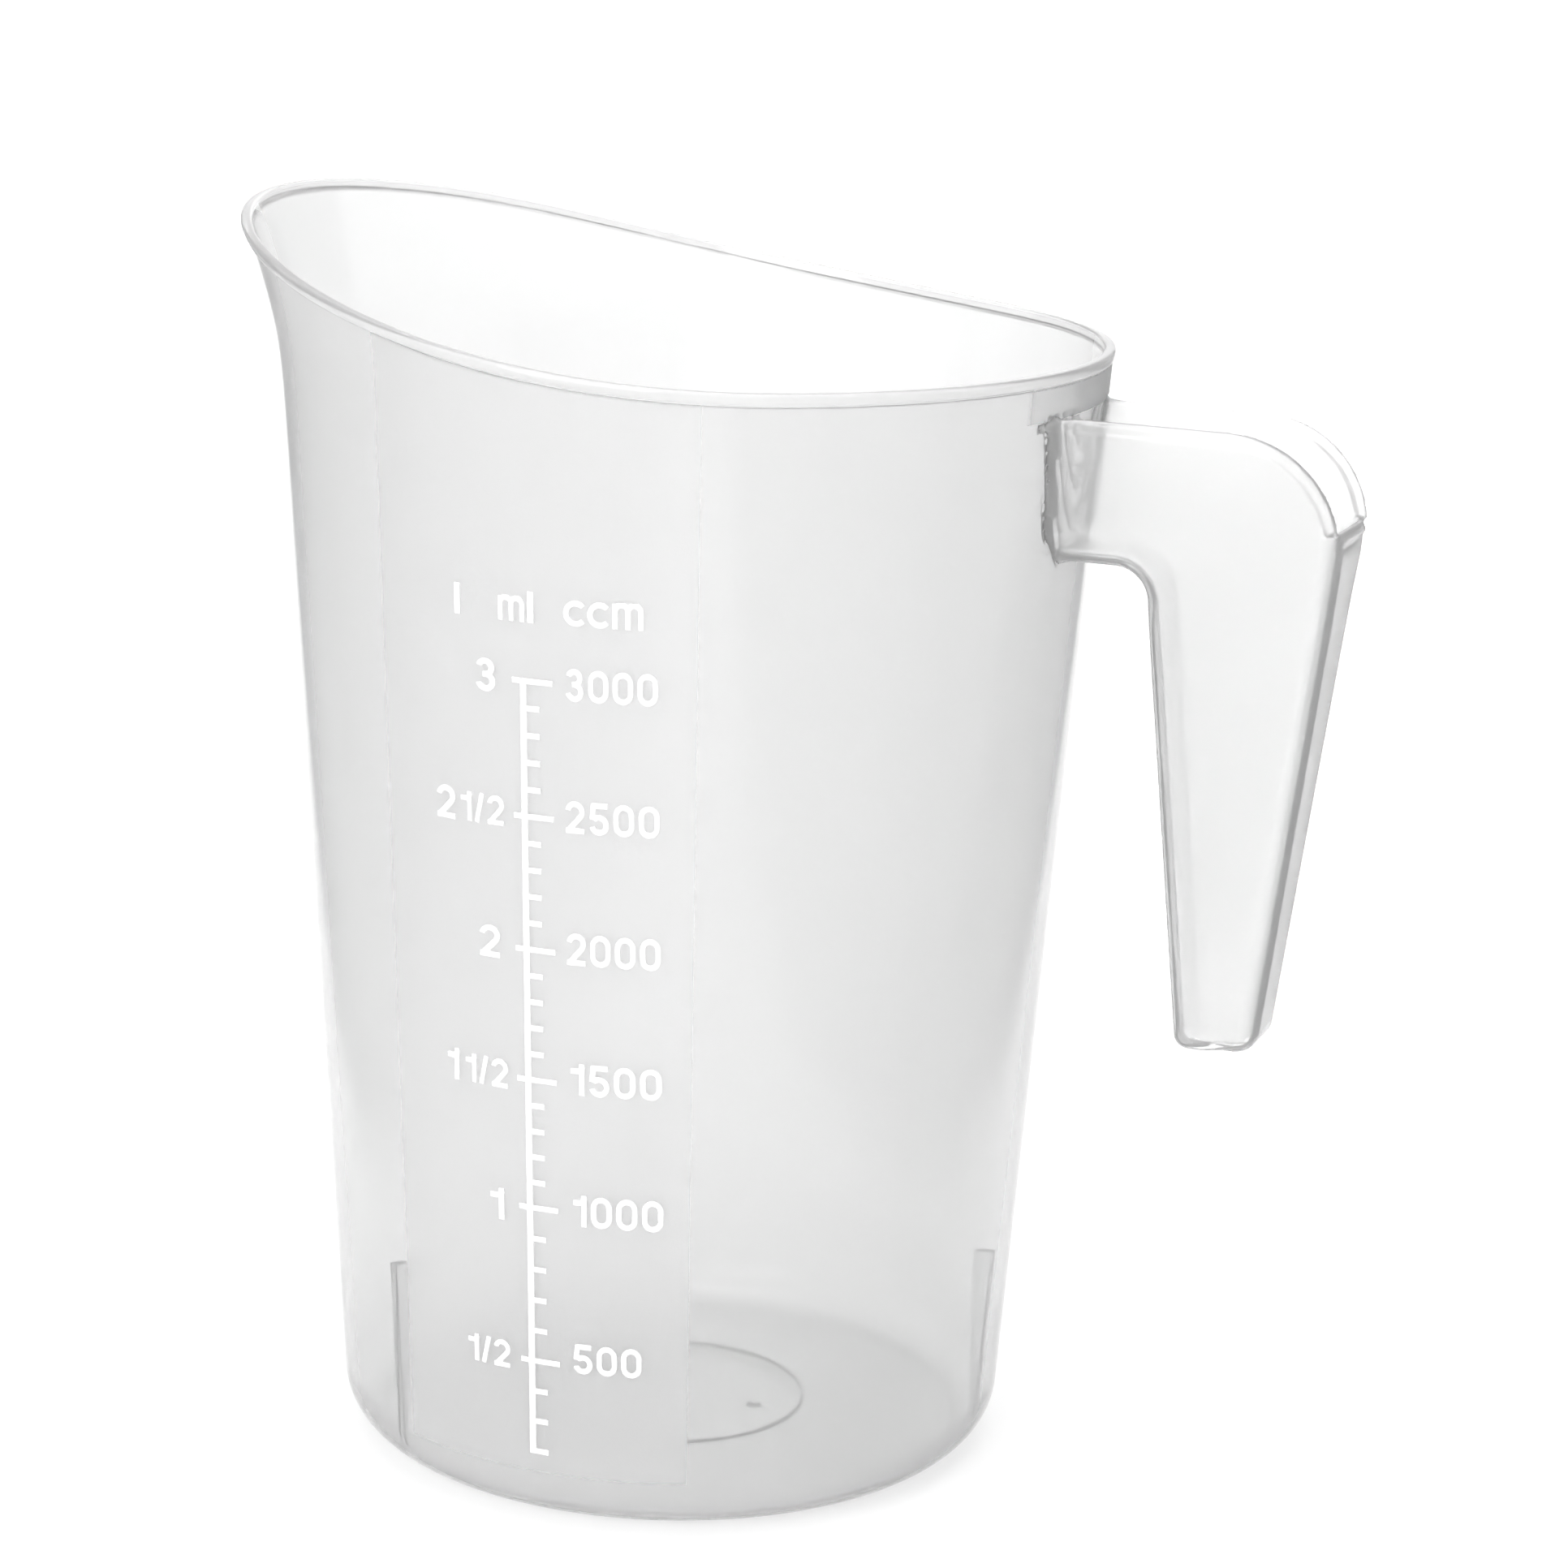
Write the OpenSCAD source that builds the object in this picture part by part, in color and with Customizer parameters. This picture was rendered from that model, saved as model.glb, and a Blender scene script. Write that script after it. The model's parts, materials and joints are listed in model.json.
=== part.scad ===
// Stackable measuring jug, three litres, one moulding in translucent polypropylene.
// The standing plane is z = 0, the jug's axis is the Z axis.
// The handle points to +X, the spout to -X and the graduated front to -Y.

/* [Body] */
// Outer diameter where the line of the wall meets the standing plane
base_d = 139.6; // [120:0.2:160]
// Lean of the wall from the upright, in degrees
wall_draft = 3.73; // [3:0.01:4.6]
// Thickness of the wall, the corner and the floor
wall_t = 1.6; // [1.2:0.1:2.4]
// Height of the level part of the rim above the standing plane
rim_h = 236.5; // [230:0.5:246]
// Outer radius of the rounded corner between wall and floor
heel_r = 12.2; // [9:0.1:16]

/* [Floor] */
// Width of the flat ring that the jug stands on
foot_w = 8.4; // [5:0.1:12]
// Radius of the floor's flat middle, as a share of the foot ring's inner radius
floor_mid_share = 0.576; // [0.45:0.001:0.7]
// Height of the underside of the middle above the standing plane
floor_rise = 2.3; // [1:0.1:4]
// Step by which the middle stands above the sloping floor
floor_step = 0.5; // [0.2:0.1:1]
// Radius of the small round mark on the floor
pip_r = 1.6; // [0.8:0.1:3]
// Height of the small round mark
pip_h = 0.5; // [0.2:0.1:1]
// Distance of the small round mark from the middle
pip_off = 19.5; // [8:0.1:24]

/* [Spout] */
// Distance from the axis, towards the handle, at which the rim begins to climb
rim_start = 50.5; // [46:0.5:54]
// Radius of the rim's upward sweep
rim_sweep_r = 425; // [425:5:430]
// Distance by which the axis of the flared lip lies towards the spout
lip_shift = 3; // [2.6:0.1:4]
// Drop from the level rim to the height at which the lip begins to flare
lip_drop = 21; // [19:0.5:23]
// Radius of the outward sweep of the lip
lip_sweep_r = 141; // [132:1:150]

/* [Rim] */
// Height of the bead along the rim
bead_h = 2.2; // [1.4:0.1:3.2]
// Distance by which the bead stands out of the wall
bead_out = 0.7; // [0.4:0.1:1.2]

/* [Handle] */
// Drop from the level rim to the open top of the handle
arm_drop = 9.3; // [6.5:0.1:14]
// Depth of the handle's arm below its open top
arm_depth = 29.3; // [25:0.1:34]
// Reach of the grip's outer line from the wall, at the height of the open top
grip_reach = 58.1; // [52:0.1:65]
// Lean of the grip's outer line, in degrees
grip_out_lean = 6.77; // [5:0.01:8]
// Room between the wall and the grip's inner line, at the height of the open top
grip_room = 12.8; // [10.5:0.1:16]
// Lean of the grip's inner line, in degrees
grip_in_lean = 6.36; // [5:0.01:7.5]
// Length of the handle from its open top down to the grip's lower end
grip_len = 126.6; // [110:0.2:136]
// Width across the open top of the handle
top_w = 29; // [26:0.1:33]
// Width across the handle where arm and grip meet
mid_w = 21.4; // [19:0.1:24]
// Width across the grip at its lower end
low_w = 17.6; // [15:0.1:19]
// Drop from the arm's underside to the crease where the grip's sides become steeper
crease_drop = 4; // [2:0.5:8]
// Wall thickness of the handle
handle_t = 2; // [1.5:0.1:2.6]
// Radius of the bend at the outer top corner
bend_r = 22.2; // [16:0.2:24]
// Radius of the corner above the fingers
finger_r = 7; // [4:0.1:10]
// Radius of the lower end on its outer side
end_out_r = 5; // [3:0.1:6]
// Radius of the lower end on its inner side
end_in_r = 3; // [2:0.1:4]
// Radius of the long edges under the arm
arm_edge_r = 3; // [2:0.1:4]
// Radius of the long edges on the outer side of the grip
grip_edge_r = 6; // [4:0.1:7]
// Drop of the open top's outer lip below the open top
mouth_drop = 18.5; // [14:0.1:21]
// Height of the bead along the open top
edge_h = 2.2; // [1.4:0.1:3]
// Distance by which that bead stands out of the handle
edge_out = 0.5; // [0.3:0.1:0.9]
// Radius of the sweep from the arm's sides into the wall
root_r = 8; // [5:0.1:11]
// Width of the thickened field on the wall above the arm
pad_w = 50.4; // [44:0.2:60]
// Thickness of that field
pad_t = 0.4; // [0.2:0.1:0.8]

/* [Stacking ribs] */
// Number of upright ribs inside the lower wall
rib_n = 3; // [2:1:6]
// Height of a rib's top above the standing plane
rib_top = 48; // [40:0.5:60]
// Thickness of a rib
rib_t = 2; // [1.4:0.1:3]
// Depth of a rib at its top, its inner edge being upright
rib_depth = 3.8; // [3:0.1:5]

/* [Frosted fields] */
// Half width of a frosted field at the rim
field_top_w = 34.2; // [30:0.1:38]
// Half width of a frosted field at its lower edge
field_low_w = 30.8; // [27:0.1:33]
// Thickness by which a frosted field stands out
field_t = 0.25; // [0.2:0.05:0.5]
// Gap between the bead of the rim and the top of a field
field_gap = 1.2; // [0.6:0.1:3]

/* [Scale] */
// Height of the 200 ml mark above the standing plane
mark_low = 16.7; // [14:0.1:20]
// Distance between the 100 ml marks up to one litre
mark_step_low = 6.65; // [6.2:0.01:6.8]
// Distance between the 100 ml marks above one litre
mark_step_high = 5.435; // [5.1:0.005:5.5]
// Height of a mark's bar
mark_h = 1.2; // [0.8:0.05:1.6]
// Width of the upright line
spine_w = 1.4; // [1:0.05:2]
// Length of a long mark to the right of the upright line's middle
mark_right = 6.1; // [5:0.1:8]
// Length of a long mark to the left of the upright line's middle
mark_left = 2.4; // [1.5:0.1:4]
// Length of a short mark to the right of the upright line's middle
mark_short = 3.4; // [2.5:0.1:4.5]
// Distance by which the scale stands out of the frosted field
mark_t = 0.3; // [0.2:0.05:0.6]

/* [Hidden] */
$fn = 96;
fine_fn = 2 * $fn;
// Overrun of the cuts
over = 1;
// Slope of the wall, its thickness measured level, and the radius of its outside at a height
wall_k = tan(wall_draft);
wall_level_t = wall_t / cos(wall_draft);
function wall_r(z) = base_d / 2 + wall_k * z;
// Middle of the corner's sweep, and the heights where it meets the wall outside and inside
heel_x = wall_r(heel_r) - heel_r / cos(wall_draft);
heel_out_z = heel_r - heel_r * sin(wall_draft);
heel_in_z = heel_r - (heel_r - wall_t) * sin(wall_draft);
foot_in_r = heel_x - foot_w;
floor_mid_r = floor_mid_share * foot_in_r;
// Depth by which the lip's sweep starts inside the wall, so that the two cross
lip_sunk = 0.2;
lip_start = rim_h - lip_drop;
// Middle of the lip's sweep, seen from the lip's own axis, and the greatest height of the jug
lip_x = wall_r(lip_start) - lip_shift + lip_sweep_r * cos(wall_draft) - lip_sunk;
lip_z = lip_start - lip_sweep_r * sin(wall_draft);
reach = wall_r(rim_h) * 1.3;
// Steepest climb of the rim, in degrees, and where it would meet the level rim
rim_climb = 15;
rim_knee = rim_start - rim_sweep_r * tan(rim_climb / 2);
top_z = rim_h + (reach + rim_knee) * tan(rim_climb);
span = 2 * top_z;
// Corners of the handle seen from the side
arm_top = rim_h - arm_drop;
arm_under = arm_top - arm_depth;
grip_out = wall_r(arm_top) + grip_reach;
grip_in = wall_r(arm_top) + grip_room;
grip_low = arm_top - grip_len;
function grip_out_x(z) = grip_out - (arm_top - z) * tan(grip_out_lean);
function grip_in_x(z) = grip_in + (arm_top - z) * tan(grip_in_lean);
arm_split = grip_in_x(arm_under) - finger_r - 2 * handle_t;
mouth_z = arm_top - mouth_drop;
grip_split = arm_under - finger_r - handle_t;
end_split = grip_low + end_out_r + handle_t;
// Side slope of the arm, and the height below the arm where the grip's lesser slope begins
side_k = (top_w - mid_w) / 2 / arm_depth;
crease_z = arm_under - crease_drop;
crease_half = mid_w / 2 - side_k * crease_drop;
function low_half(z) = crease_half + (z - crease_z) * (crease_half - low_w / 2) / (crease_z - grip_low);
side_lean = atan(side_k);
side_t = handle_t / cos(side_lean);
out_t = handle_t / cos(grip_out_lean);
// Room between the prism that rounds the grip's edges and the grip's sides
grip_edge_gap = 0.3;
in_t = handle_t / cos(grip_in_lean);
// Heights of the marks: 200 ml to 1000 ml, then 1100 ml to 3000 ml
mark_litre = mark_low + 8 * mark_step_low;
function mark_z(n) = n <= 10 ? mark_low + (n - 2) * mark_step_low : mark_litre + (n - 10) * mark_step_high;
mark_top = mark_z(30);

// Corner i of the outline p, swept by radius r: both ends of the sweep, its middle, the corner's
// outward direction, and whether the outline turns left there
function unit(v) = v / norm(v);
function corner(p, i, r) =
    let (n = len(p), v = p[i], d1 = unit(p[(i + n - 1) % n] - v), d2 = unit(p[(i + 1) % n] - v),
        half = acos(d1 * d2) / 2, run = r / tan(half), m = unit(d1 + d2))
    [v + run * d1, v + run * d2, v + r / sin(half) * m, -m, cross(d2, d1) > 0];

// Part of the circle between a hollow corner's chord and its arc
module arc_slice(c, r) {
    intersection() {
        translate(c[2]) circle(r);
        polygon([c[0], c[0] + 2 * r * c[3], c[1] + 2 * r * c[3], c[1]]);
    }
}

// Outline through the points p, listed counter-clockwise, with a radius for each corner
module outline(p, radii) {
    c = [for (i = [0 : len(p) - 1]) corner(p, i, radii[i])];
    difference() {
        union() {
            polygon([for (i = [0 : len(p) - 1]) each radii[i] > 0 ? [c[i][0], c[i][1]] : [p[i]]]);
            for (i = [0 : len(p) - 1]) if (radii[i] > 0 && c[i][4]) translate(c[i][2]) circle(radii[i]);
        }
        for (i = [0 : len(p) - 1]) if (radii[i] > 0 && !c[i][4]) arc_slice(c[i], radii[i]);
    }
}

// Side view below the rim's line, lowered by drop
module below_rim(drop) {
    translate([0, -drop]) outline([[-span, -span], [span, -span], [span, rim_h], [rim_knee, rim_h],
        [-span, rim_h + (span + rim_knee) * tan(rim_climb)]], [0, 0, 0, rim_sweep_r, 0]);
}

// A side view made solid, symmetrical about the plane through spout and handle
module side_solid(w) {
    rotate([90, 0, 0]) linear_extrude(w, center = true) children();
}

// A front view made solid along X, from x = 0 to x = w
module front_solid(w) {
    rotate([90, 0, 90]) linear_extrude(w) children();
}

// Half section of the body's solid: in = 0 is the outside, in = wall_t the inside,
// and a negative value lies outside the wall
module body_section(in) {
    low_z = heel_r - (heel_r - in) * sin(wall_draft);
    shift = in / cos(wall_draft);
    square_low = max(in, 0);
    translate([0, square_low]) square([heel_x, heel_r - square_low]);
    intersection() {
        translate([heel_x, heel_r]) circle(heel_r - in);
        translate([heel_x - over, 0]) square([heel_r + 2 * over, low_z]);
    }
    polygon([[0, low_z], [wall_r(low_z) - shift, low_z],
        [wall_r(top_z) - shift, top_z], [0, top_z]]);
}

// The flared lip's solid about its own axis
module lip_solid(in) {
    foot_z = lip_start + in * sin(wall_draft);
    translate([-lip_shift, 0, 0]) rotate_extrude() difference() {
        translate([0, foot_z]) square([lip_x, top_z - foot_z]);
        translate([lip_x, lip_z]) circle(lip_sweep_r + in);
    }
}

// Outside or inside of the whole body
module body_solid(in) {
    rotate_extrude() body_section(in);
    lip_solid(in);
}

// Wall from the rounded corner to the bead, with the flared lip
module jug_wall() {
    color([0.9, 0.9, 0.9]) intersection() {
        difference() {
            body_solid(0);
            body_solid(wall_t);
            translate([-span, -span, heel_r - span]) cube([2 * span, 2 * span, span]);
        }
        side_solid(2 * span) below_rim(bead_h);
    }
}

// Rounded corner between wall and floor
module base_corner() {
    color([0.82, 0.82, 0.82]) rotate_extrude() intersection() {
        difference() {
            body_section(0);
            body_section(wall_t);
        }
        translate([heel_x, 0]) square([2 * heel_r, heel_r]);
    }
}

// Flat ring that the jug stands on
module foot_ring() {
    color([0.93, 0.93, 0.93]) rotate_extrude()
        translate([foot_in_r, 0]) square([foot_w, wall_t]);
}

// Floor that climbs from the foot to the middle
module floor_slope() {
    color([0.86, 0.86, 0.86]) rotate_extrude()
        polygon([[foot_in_r, 0], [foot_in_r, wall_t],
            [floor_mid_r, floor_rise + wall_t], [floor_mid_r, floor_rise]]);
}

// Flat middle of the floor
module floor_middle() {
    color([0.88, 0.88, 0.88]) translate([0, 0, floor_rise])
        cylinder(r = floor_mid_r, h = wall_t + floor_step);
}

// Small round mark left by the mould
module floor_mark() {
    color([0.75, 0.75, 0.75]) translate([pip_off, 0, floor_rise + wall_t + floor_step])
        cylinder(r1 = pip_r, r2 = pip_r / 2, h = pip_h);
}

// Bead along the whole rim
module rim_bead() {
    color([0.78, 0.78, 0.78]) intersection() {
        difference() {
            body_solid(-bead_out);
            body_solid(wall_t);
        }
        side_solid(2 * span) difference() {
            below_rim(0);
            below_rim(bead_h);
        }
    }
}

// Front view of a frosted field
module field_outline() {
    field_high = top_z;
    grow = (field_top_w - field_low_w) / (rim_h - heel_r);
    high_w = field_low_w + grow * (field_high - heel_r);
    polygon([[-field_low_w, heel_r], [field_low_w, heel_r], [high_w, field_high], [-high_w, field_high]]);
}

// Skin on the outside of the wall, from distance a to distance b, on the side given by turn
module skin(a, b, turn) {
    rotate([0, 0, turn]) intersection() {
        difference() {
            rotate_extrude() body_section(-b);
            rotate_extrude() body_section(-a);
        }
        rotate([90, 0, 0]) linear_extrude(reach) children();
    }
}

// Spark-eroded field that carries the scale
module front_field() {
    color([0.8, 0.8, 0.8]) intersection() {
        skin(0, field_t, 0) field_outline();
        side_solid(2 * span) below_rim(bead_h + field_gap);
    }
}

// Spark-eroded field opposite
module rear_field() {
    color([0.8, 0.8, 0.8]) intersection() {
        skin(0, field_t, 180) field_outline();
        side_solid(2 * span) below_rim(bead_h + field_gap);
    }
}

// Upright ribs inside the lower wall, on which a stacked jug rests
module stacking_ribs() {
    rib_in_r = wall_r(rib_top) - wall_level_t - rib_depth;
    color([0.7, 0.7, 0.7]) intersection() {
        rotate_extrude() body_section(wall_t);
        for (i = [0 : rib_n - 1]) rotate([0, 0, i * 360 / rib_n])
            translate([rib_in_r, -rib_t / 2, heel_r]) cube([2 * heel_r, rib_t, rib_top - heel_r]);
    }
}

// Side view of the handle's outside
module handle_side() {
    outline([[0, arm_under], [grip_in_x(arm_under), arm_under], [grip_in_x(grip_low), grip_low],
        [grip_out_x(grip_low), grip_low], [grip_out_x(arm_top), arm_top], [0, arm_top]],
        [0, finger_r, end_in_r, end_out_r, bend_r, 0]);
}

// Side view of the hollow: open above, and open over the bend down to the mouth
module hollow_side() {
    low = grip_low + handle_t;
    under = arm_under + handle_t;
    outline([[0, under], [grip_in_x(under) + in_t, under], [grip_in_x(low) + in_t, low],
        [grip_out_x(low) - out_t, low], [grip_out_x(mouth_z) - out_t, mouth_z], [span, mouth_z],
        [span, span], [0, span]],
        [0, finger_r + handle_t, end_in_r - handle_t, end_out_r - handle_t, 0, 0, 0, 0]);
}

// Front view of the handle, drawn in by in
module handle_front(in) {
    w = [low_half(0) - in, low_half(crease_z) - in, crease_half + side_k * (span - crease_z) - in];
    polygon([[-w[0], 0], [w[0], 0], [w[1], crease_z], [w[2], span], [-w[2], span], [-w[1], crease_z]]);
}

// Front view of the arm, with rounded long edges under it, up to the height top
module arm_front(side, under, top, r) {
    w = mid_w / 2 - side + side_k * (under - arm_under);
    h = w + side_k * (top - under);
    outline([[-w, under], [w, under], [h, top], [-h, top]], [r, r, 0, 0]);
}

// Prism with rounded long edges that lies along the grip's outer line
module outer_edges(in) {
    w = mid_w / 2 - in + grip_edge_gap;
    translate([grip_out_x(arm_top) - in / cos(grip_out_lean), 0, arm_top]) rotate([0, grip_out_lean, 0])
        translate([0, 0, -span]) linear_extrude(2 * span)
            outline([[-reach, -w], [0, -w], [0, w], [-reach, w]], [0, grip_edge_r - in, grip_edge_r - in, 0]);
}

// Solid of the handle's outside or of its hollow, before it is parted
module handle_block() {
    intersection() {
        side_solid(span) handle_side();
        front_solid(span) handle_front(0);
    }
}

module handle_hollow() {
    intersection() {
        side_solid(span) hollow_side();
        front_solid(span) handle_front(side_t);
    }
}

// Side view of what lies inside the bead round the open top
module inside_strip() {
    outline([[0, grip_low], [grip_out_x(grip_low) - edge_h, grip_low],
        [grip_out_x(arm_top) - edge_h, arm_top - edge_h], [0, arm_top - edge_h]],
        [0, 0, bend_r - edge_h, 0]);
}

// Side view of the strip that carries the bead round the open top
module edge_strip() {
    difference() {
        intersection() {
            handle_side();
            translate([0, mouth_z]) square([span, span]);
        }
        inside_strip();
    }
}

// Side view of the handle without that strip
module plain_side() {
    intersection() {
        handle_side();
        square([span, mouth_z]);
    }
    intersection() {
        inside_strip();
        translate([0, mouth_z]) square([span, span]);
    }
}

// Arm between wall and grip: two sides and an underside, open above
module handle_arm() {
    color([0.84, 0.84, 0.84]) difference() {
        front_solid(arm_split) arm_front(0, arm_under, arm_top - edge_h, arm_edge_r);
        front_solid(span) arm_front(side_t, arm_under + handle_t, arm_top + over, 0);
        rotate_extrude() body_section(0);
    }
}

// Bend above the grip
module handle_bend() {
    color([0.8, 0.8, 0.8]) difference() {
        intersection() {
            side_solid(span) plain_side();
            front_solid(span) handle_front(0);
            translate([arm_split, -span, grip_split]) cube([span, 2 * span, span]);
        }
        handle_hollow();
    }
}

// Hollow grip with rounded long edges
module handle_grip() {
    color([0.86, 0.86, 0.86]) difference() {
        intersection() {
            handle_block();
            outer_edges(0);
            translate([0, -span, end_split]) cube([span, 2 * span, grip_split - end_split]);
        }
        intersection() {
            handle_hollow();
            outer_edges(handle_t);
        }
    }
}

// Closed lower end of the grip
module handle_end() {
    color([0.76, 0.76, 0.76]) difference() {
        intersection() {
            handle_block();
            outer_edges(0);
            translate([0, -span, 0]) cube([span, 2 * span, end_split]);
        }
        intersection() {
            handle_hollow();
            outer_edges(handle_t);
        }
    }
}

// Bead along both sides of the open top and round the bend
module handle_edge() {
    color([0.7, 0.7, 0.7]) difference() {
        intersection() {
            side_solid(span) edge_strip();
            front_solid(span) handle_front(-edge_out);
        }
        handle_hollow();
        rotate_extrude() body_section(0);
    }
}

// Plan of a sweep that leads a side of the arm into the wall
module root_plan(side) {
    root_x = wall_r(arm_top);
    mirror([0, side]) translate([0, mid_w / 2]) outline([[0, -over], [root_x + root_r + over, -over],
        [root_x + root_r + over, 0], [root_x, 0], [root_x, root_r + over], [0, root_r + over]],
        [0, 0, 0, root_r, 0, 0]);
}

// Sweeps between the arm's sides and the wall
module handle_root_sweeps() {
    color([0.66, 0.66, 0.66]) difference() {
        translate([0, 0, arm_under + arm_edge_r])
            linear_extrude(arm_depth - arm_edge_r - edge_h) for (s = [0, 1]) root_plan(s, $fn = fine_fn);
        front_solid(span) handle_front(0);
        rotate_extrude() body_section(0);
    }
}

// Thickened field on the wall above the arm
module handle_root_field() {
    color([0.6, 0.6, 0.6]) intersection() {
        difference() {
            rotate_extrude() body_section(-pad_t);
            rotate_extrude() body_section(0);
        }
        translate([0, -pad_w / 2, arm_top]) cube([span, pad_w, rim_h - bead_h - arm_top]);
    }
}

// Upright line of the scale
module scale_line() {
    color([1, 1, 1]) skin(field_t, field_t + mark_t, 0)
        translate([-spine_w / 2, mark_low - mark_h / 2])
            square([spine_w, mark_top - mark_low + mark_h]);
}

// Long marks, one for each half litre
module scale_500_marks() {
    color([1, 1, 1]) skin(field_t, field_t + mark_t, 0)
        for (n = [5 : 5 : 30]) {
            translate([spine_w / 2, mark_z(n) - mark_h / 2]) square([mark_right - spine_w / 2, mark_h]);
            translate([-mark_left, mark_z(n) - mark_h / 2]) square([mark_left - spine_w / 2, mark_h]);
        }
}

// Short marks, one for each tenth of a litre
module scale_100_marks() {
    color([1, 1, 1]) skin(field_t, field_t + mark_t, 0)
        for (n = [2 : 30]) if (n % 5 > 0)
            translate([spine_w / 2, mark_z(n) - mark_h / 2]) square([mark_short - spine_w / 2, mark_h]);
}

jug_wall();
base_corner();
foot_ring();
floor_slope();
floor_middle();
floor_mark();
rim_bead();
front_field();
rear_field();
stacking_ribs();
handle_arm();
handle_bend();
handle_grip();
handle_end();
handle_edge();
handle_root_sweeps();
handle_root_field();
scale_line();
scale_500_marks();
scale_100_marks();
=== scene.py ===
"""Looks for a stackable three litre measuring jug, moulded in one piece from translucent polypropylene.

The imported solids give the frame. Smooth closed surfaces stand for them here: the jug's shell with
its bead, lip and frosted fields, the open handle, the stacking ribs, the raised scale and its numerals.
"""
import json
from math import asin, atan, cos, pi, radians, sin, sqrt, tan
from types import SimpleNamespace

import bpy
import numpy as np
from mathutils import Matrix

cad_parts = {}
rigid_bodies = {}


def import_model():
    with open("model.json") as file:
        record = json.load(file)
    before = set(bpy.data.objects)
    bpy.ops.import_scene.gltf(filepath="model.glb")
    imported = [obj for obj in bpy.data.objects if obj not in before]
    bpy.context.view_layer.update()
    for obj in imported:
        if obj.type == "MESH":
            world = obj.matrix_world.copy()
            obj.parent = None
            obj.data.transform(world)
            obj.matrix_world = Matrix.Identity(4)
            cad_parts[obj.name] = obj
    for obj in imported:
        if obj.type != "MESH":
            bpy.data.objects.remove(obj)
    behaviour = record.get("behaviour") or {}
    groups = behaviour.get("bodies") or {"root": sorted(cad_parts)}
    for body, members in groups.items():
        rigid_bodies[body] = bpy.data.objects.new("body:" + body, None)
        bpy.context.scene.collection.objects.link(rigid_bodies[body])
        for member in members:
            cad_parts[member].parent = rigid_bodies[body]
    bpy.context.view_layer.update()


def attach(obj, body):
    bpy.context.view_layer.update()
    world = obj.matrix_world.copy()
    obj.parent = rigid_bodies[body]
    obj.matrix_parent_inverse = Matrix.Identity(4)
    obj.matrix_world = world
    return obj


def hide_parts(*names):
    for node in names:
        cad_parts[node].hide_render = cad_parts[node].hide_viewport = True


bl_info = {
    "name": "Measuring jug",
    "version": (1, 0, 0),
    "blender": (4, 5, 0),
    "location": "3D View > Sidebar > Jug",
    "description": "Builds the surfaces, finishes and studio of a translucent measuring jug",
    "category": "Object",
}

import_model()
MM = 0.001


def length(name, default, description):
    """A size in metres, shown in Blender's own unit of length."""
    return bpy.props.FloatProperty(name=name, default=default, description=description,
                                   unit="LENGTH", precision=5)


def angle(name, degrees, description):
    """An angle given in degrees."""
    return bpy.props.FloatProperty(name=name, default=radians(degrees), description=description,
                                   subtype="ANGLE")


def share(name, default, description):
    """A number from nought to one."""
    return bpy.props.FloatProperty(name=name, default=default, description=description,
                                   min=0.0, max=1.0, subtype="FACTOR")


def linear(code):
    """An sRGB hex value turned into linear red, green, blue and a full alpha."""
    parts = [int(code[i:i + 2], 16) / 255 for i in (1, 3, 5)]
    return [p / 12.92 if p <= 0.04045 else ((p + 0.055) / 1.055) ** 2.4 for p in parts] + [1.0]


def colour(name, code, description):
    """A colour given as an sRGB hex value."""
    return bpy.props.FloatVectorProperty(name=name, default=linear(code)[:3], size=3, min=0, max=1,
                                         subtype="COLOR", description=description)


class JugShellSizes(bpy.types.PropertyGroup):
    base_d: length("Base diameter", 0.1396, "Where the line of the wall meets the standing plane")
    lean: angle("Wall lean", 3.73, "Lean of the wall from the upright")
    wall_t: length("Wall", 0.0016, "Thickness of the wall, the corner and the floor")
    rim_h: length("Rim height", 0.2365, "Height of the level part of the rim")
    corner_r: length("Corner radius", 0.0122, "Outer radius between wall and floor")
    foot_w: length("Foot width", 0.0084, "Width of the ring that the jug stands on")
    middle_share: share("Floor middle", 0.576, "Radius of the floor's flat middle as a share of the foot's")
    floor_rise: length("Floor rise", 0.0023, "Height of the underside of the floor's middle")
    floor_step: length("Floor step", 0.0005, "Step by which the middle stands above the slope")
    ring_r: length("Floor ring", 0.0614, "Radius of the fine ridge round the floor")
    ring_h: length("Ridge height", 0.00018, "Height of that ridge")
    climb: angle("Rim climb", 15, "Steepest climb of the rim towards the lip")
    rim_start: length("Rim start", 0.0505, "Distance from the axis at which the rim begins to climb")
    rim_sweep_r: length("Rim sweep", 0.425, "Radius of the rim's upward sweep")
    lip_shift: length("Lip shift", 0.003, "Distance of the lip's axis from the jug's axis")
    lip_drop: length("Lip drop", 0.021, "Drop from the level rim to the start of the lip")
    lip_sweep_r: length("Lip sweep", 0.141, "Radius of the lip's outward sweep")
    bead_h: length("Bead height", 0.0022, "Height of the bead along the rim")
    bead_out: length("Bead depth", 0.0007, "Distance by which the bead stands out")
    field_top_w: length("Field top", 0.0342, "Half width of a frosted field at the rim")
    field_low_w: length("Field foot", 0.0308, "Half width of a frosted field at its lower edge")
    field_t: length("Field thickness", 0.00006, "Thickness by which a frosted field stands out")
    field_gap: length("Field gap", 0.0004, "Gap between the bead and a frosted field")
    pad_w: length("Root field width", 0.0504, "Width of the thickened field above the arm")
    pad_t: length("Root field thickness", 0.00025, "Thickness of that field")


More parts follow.
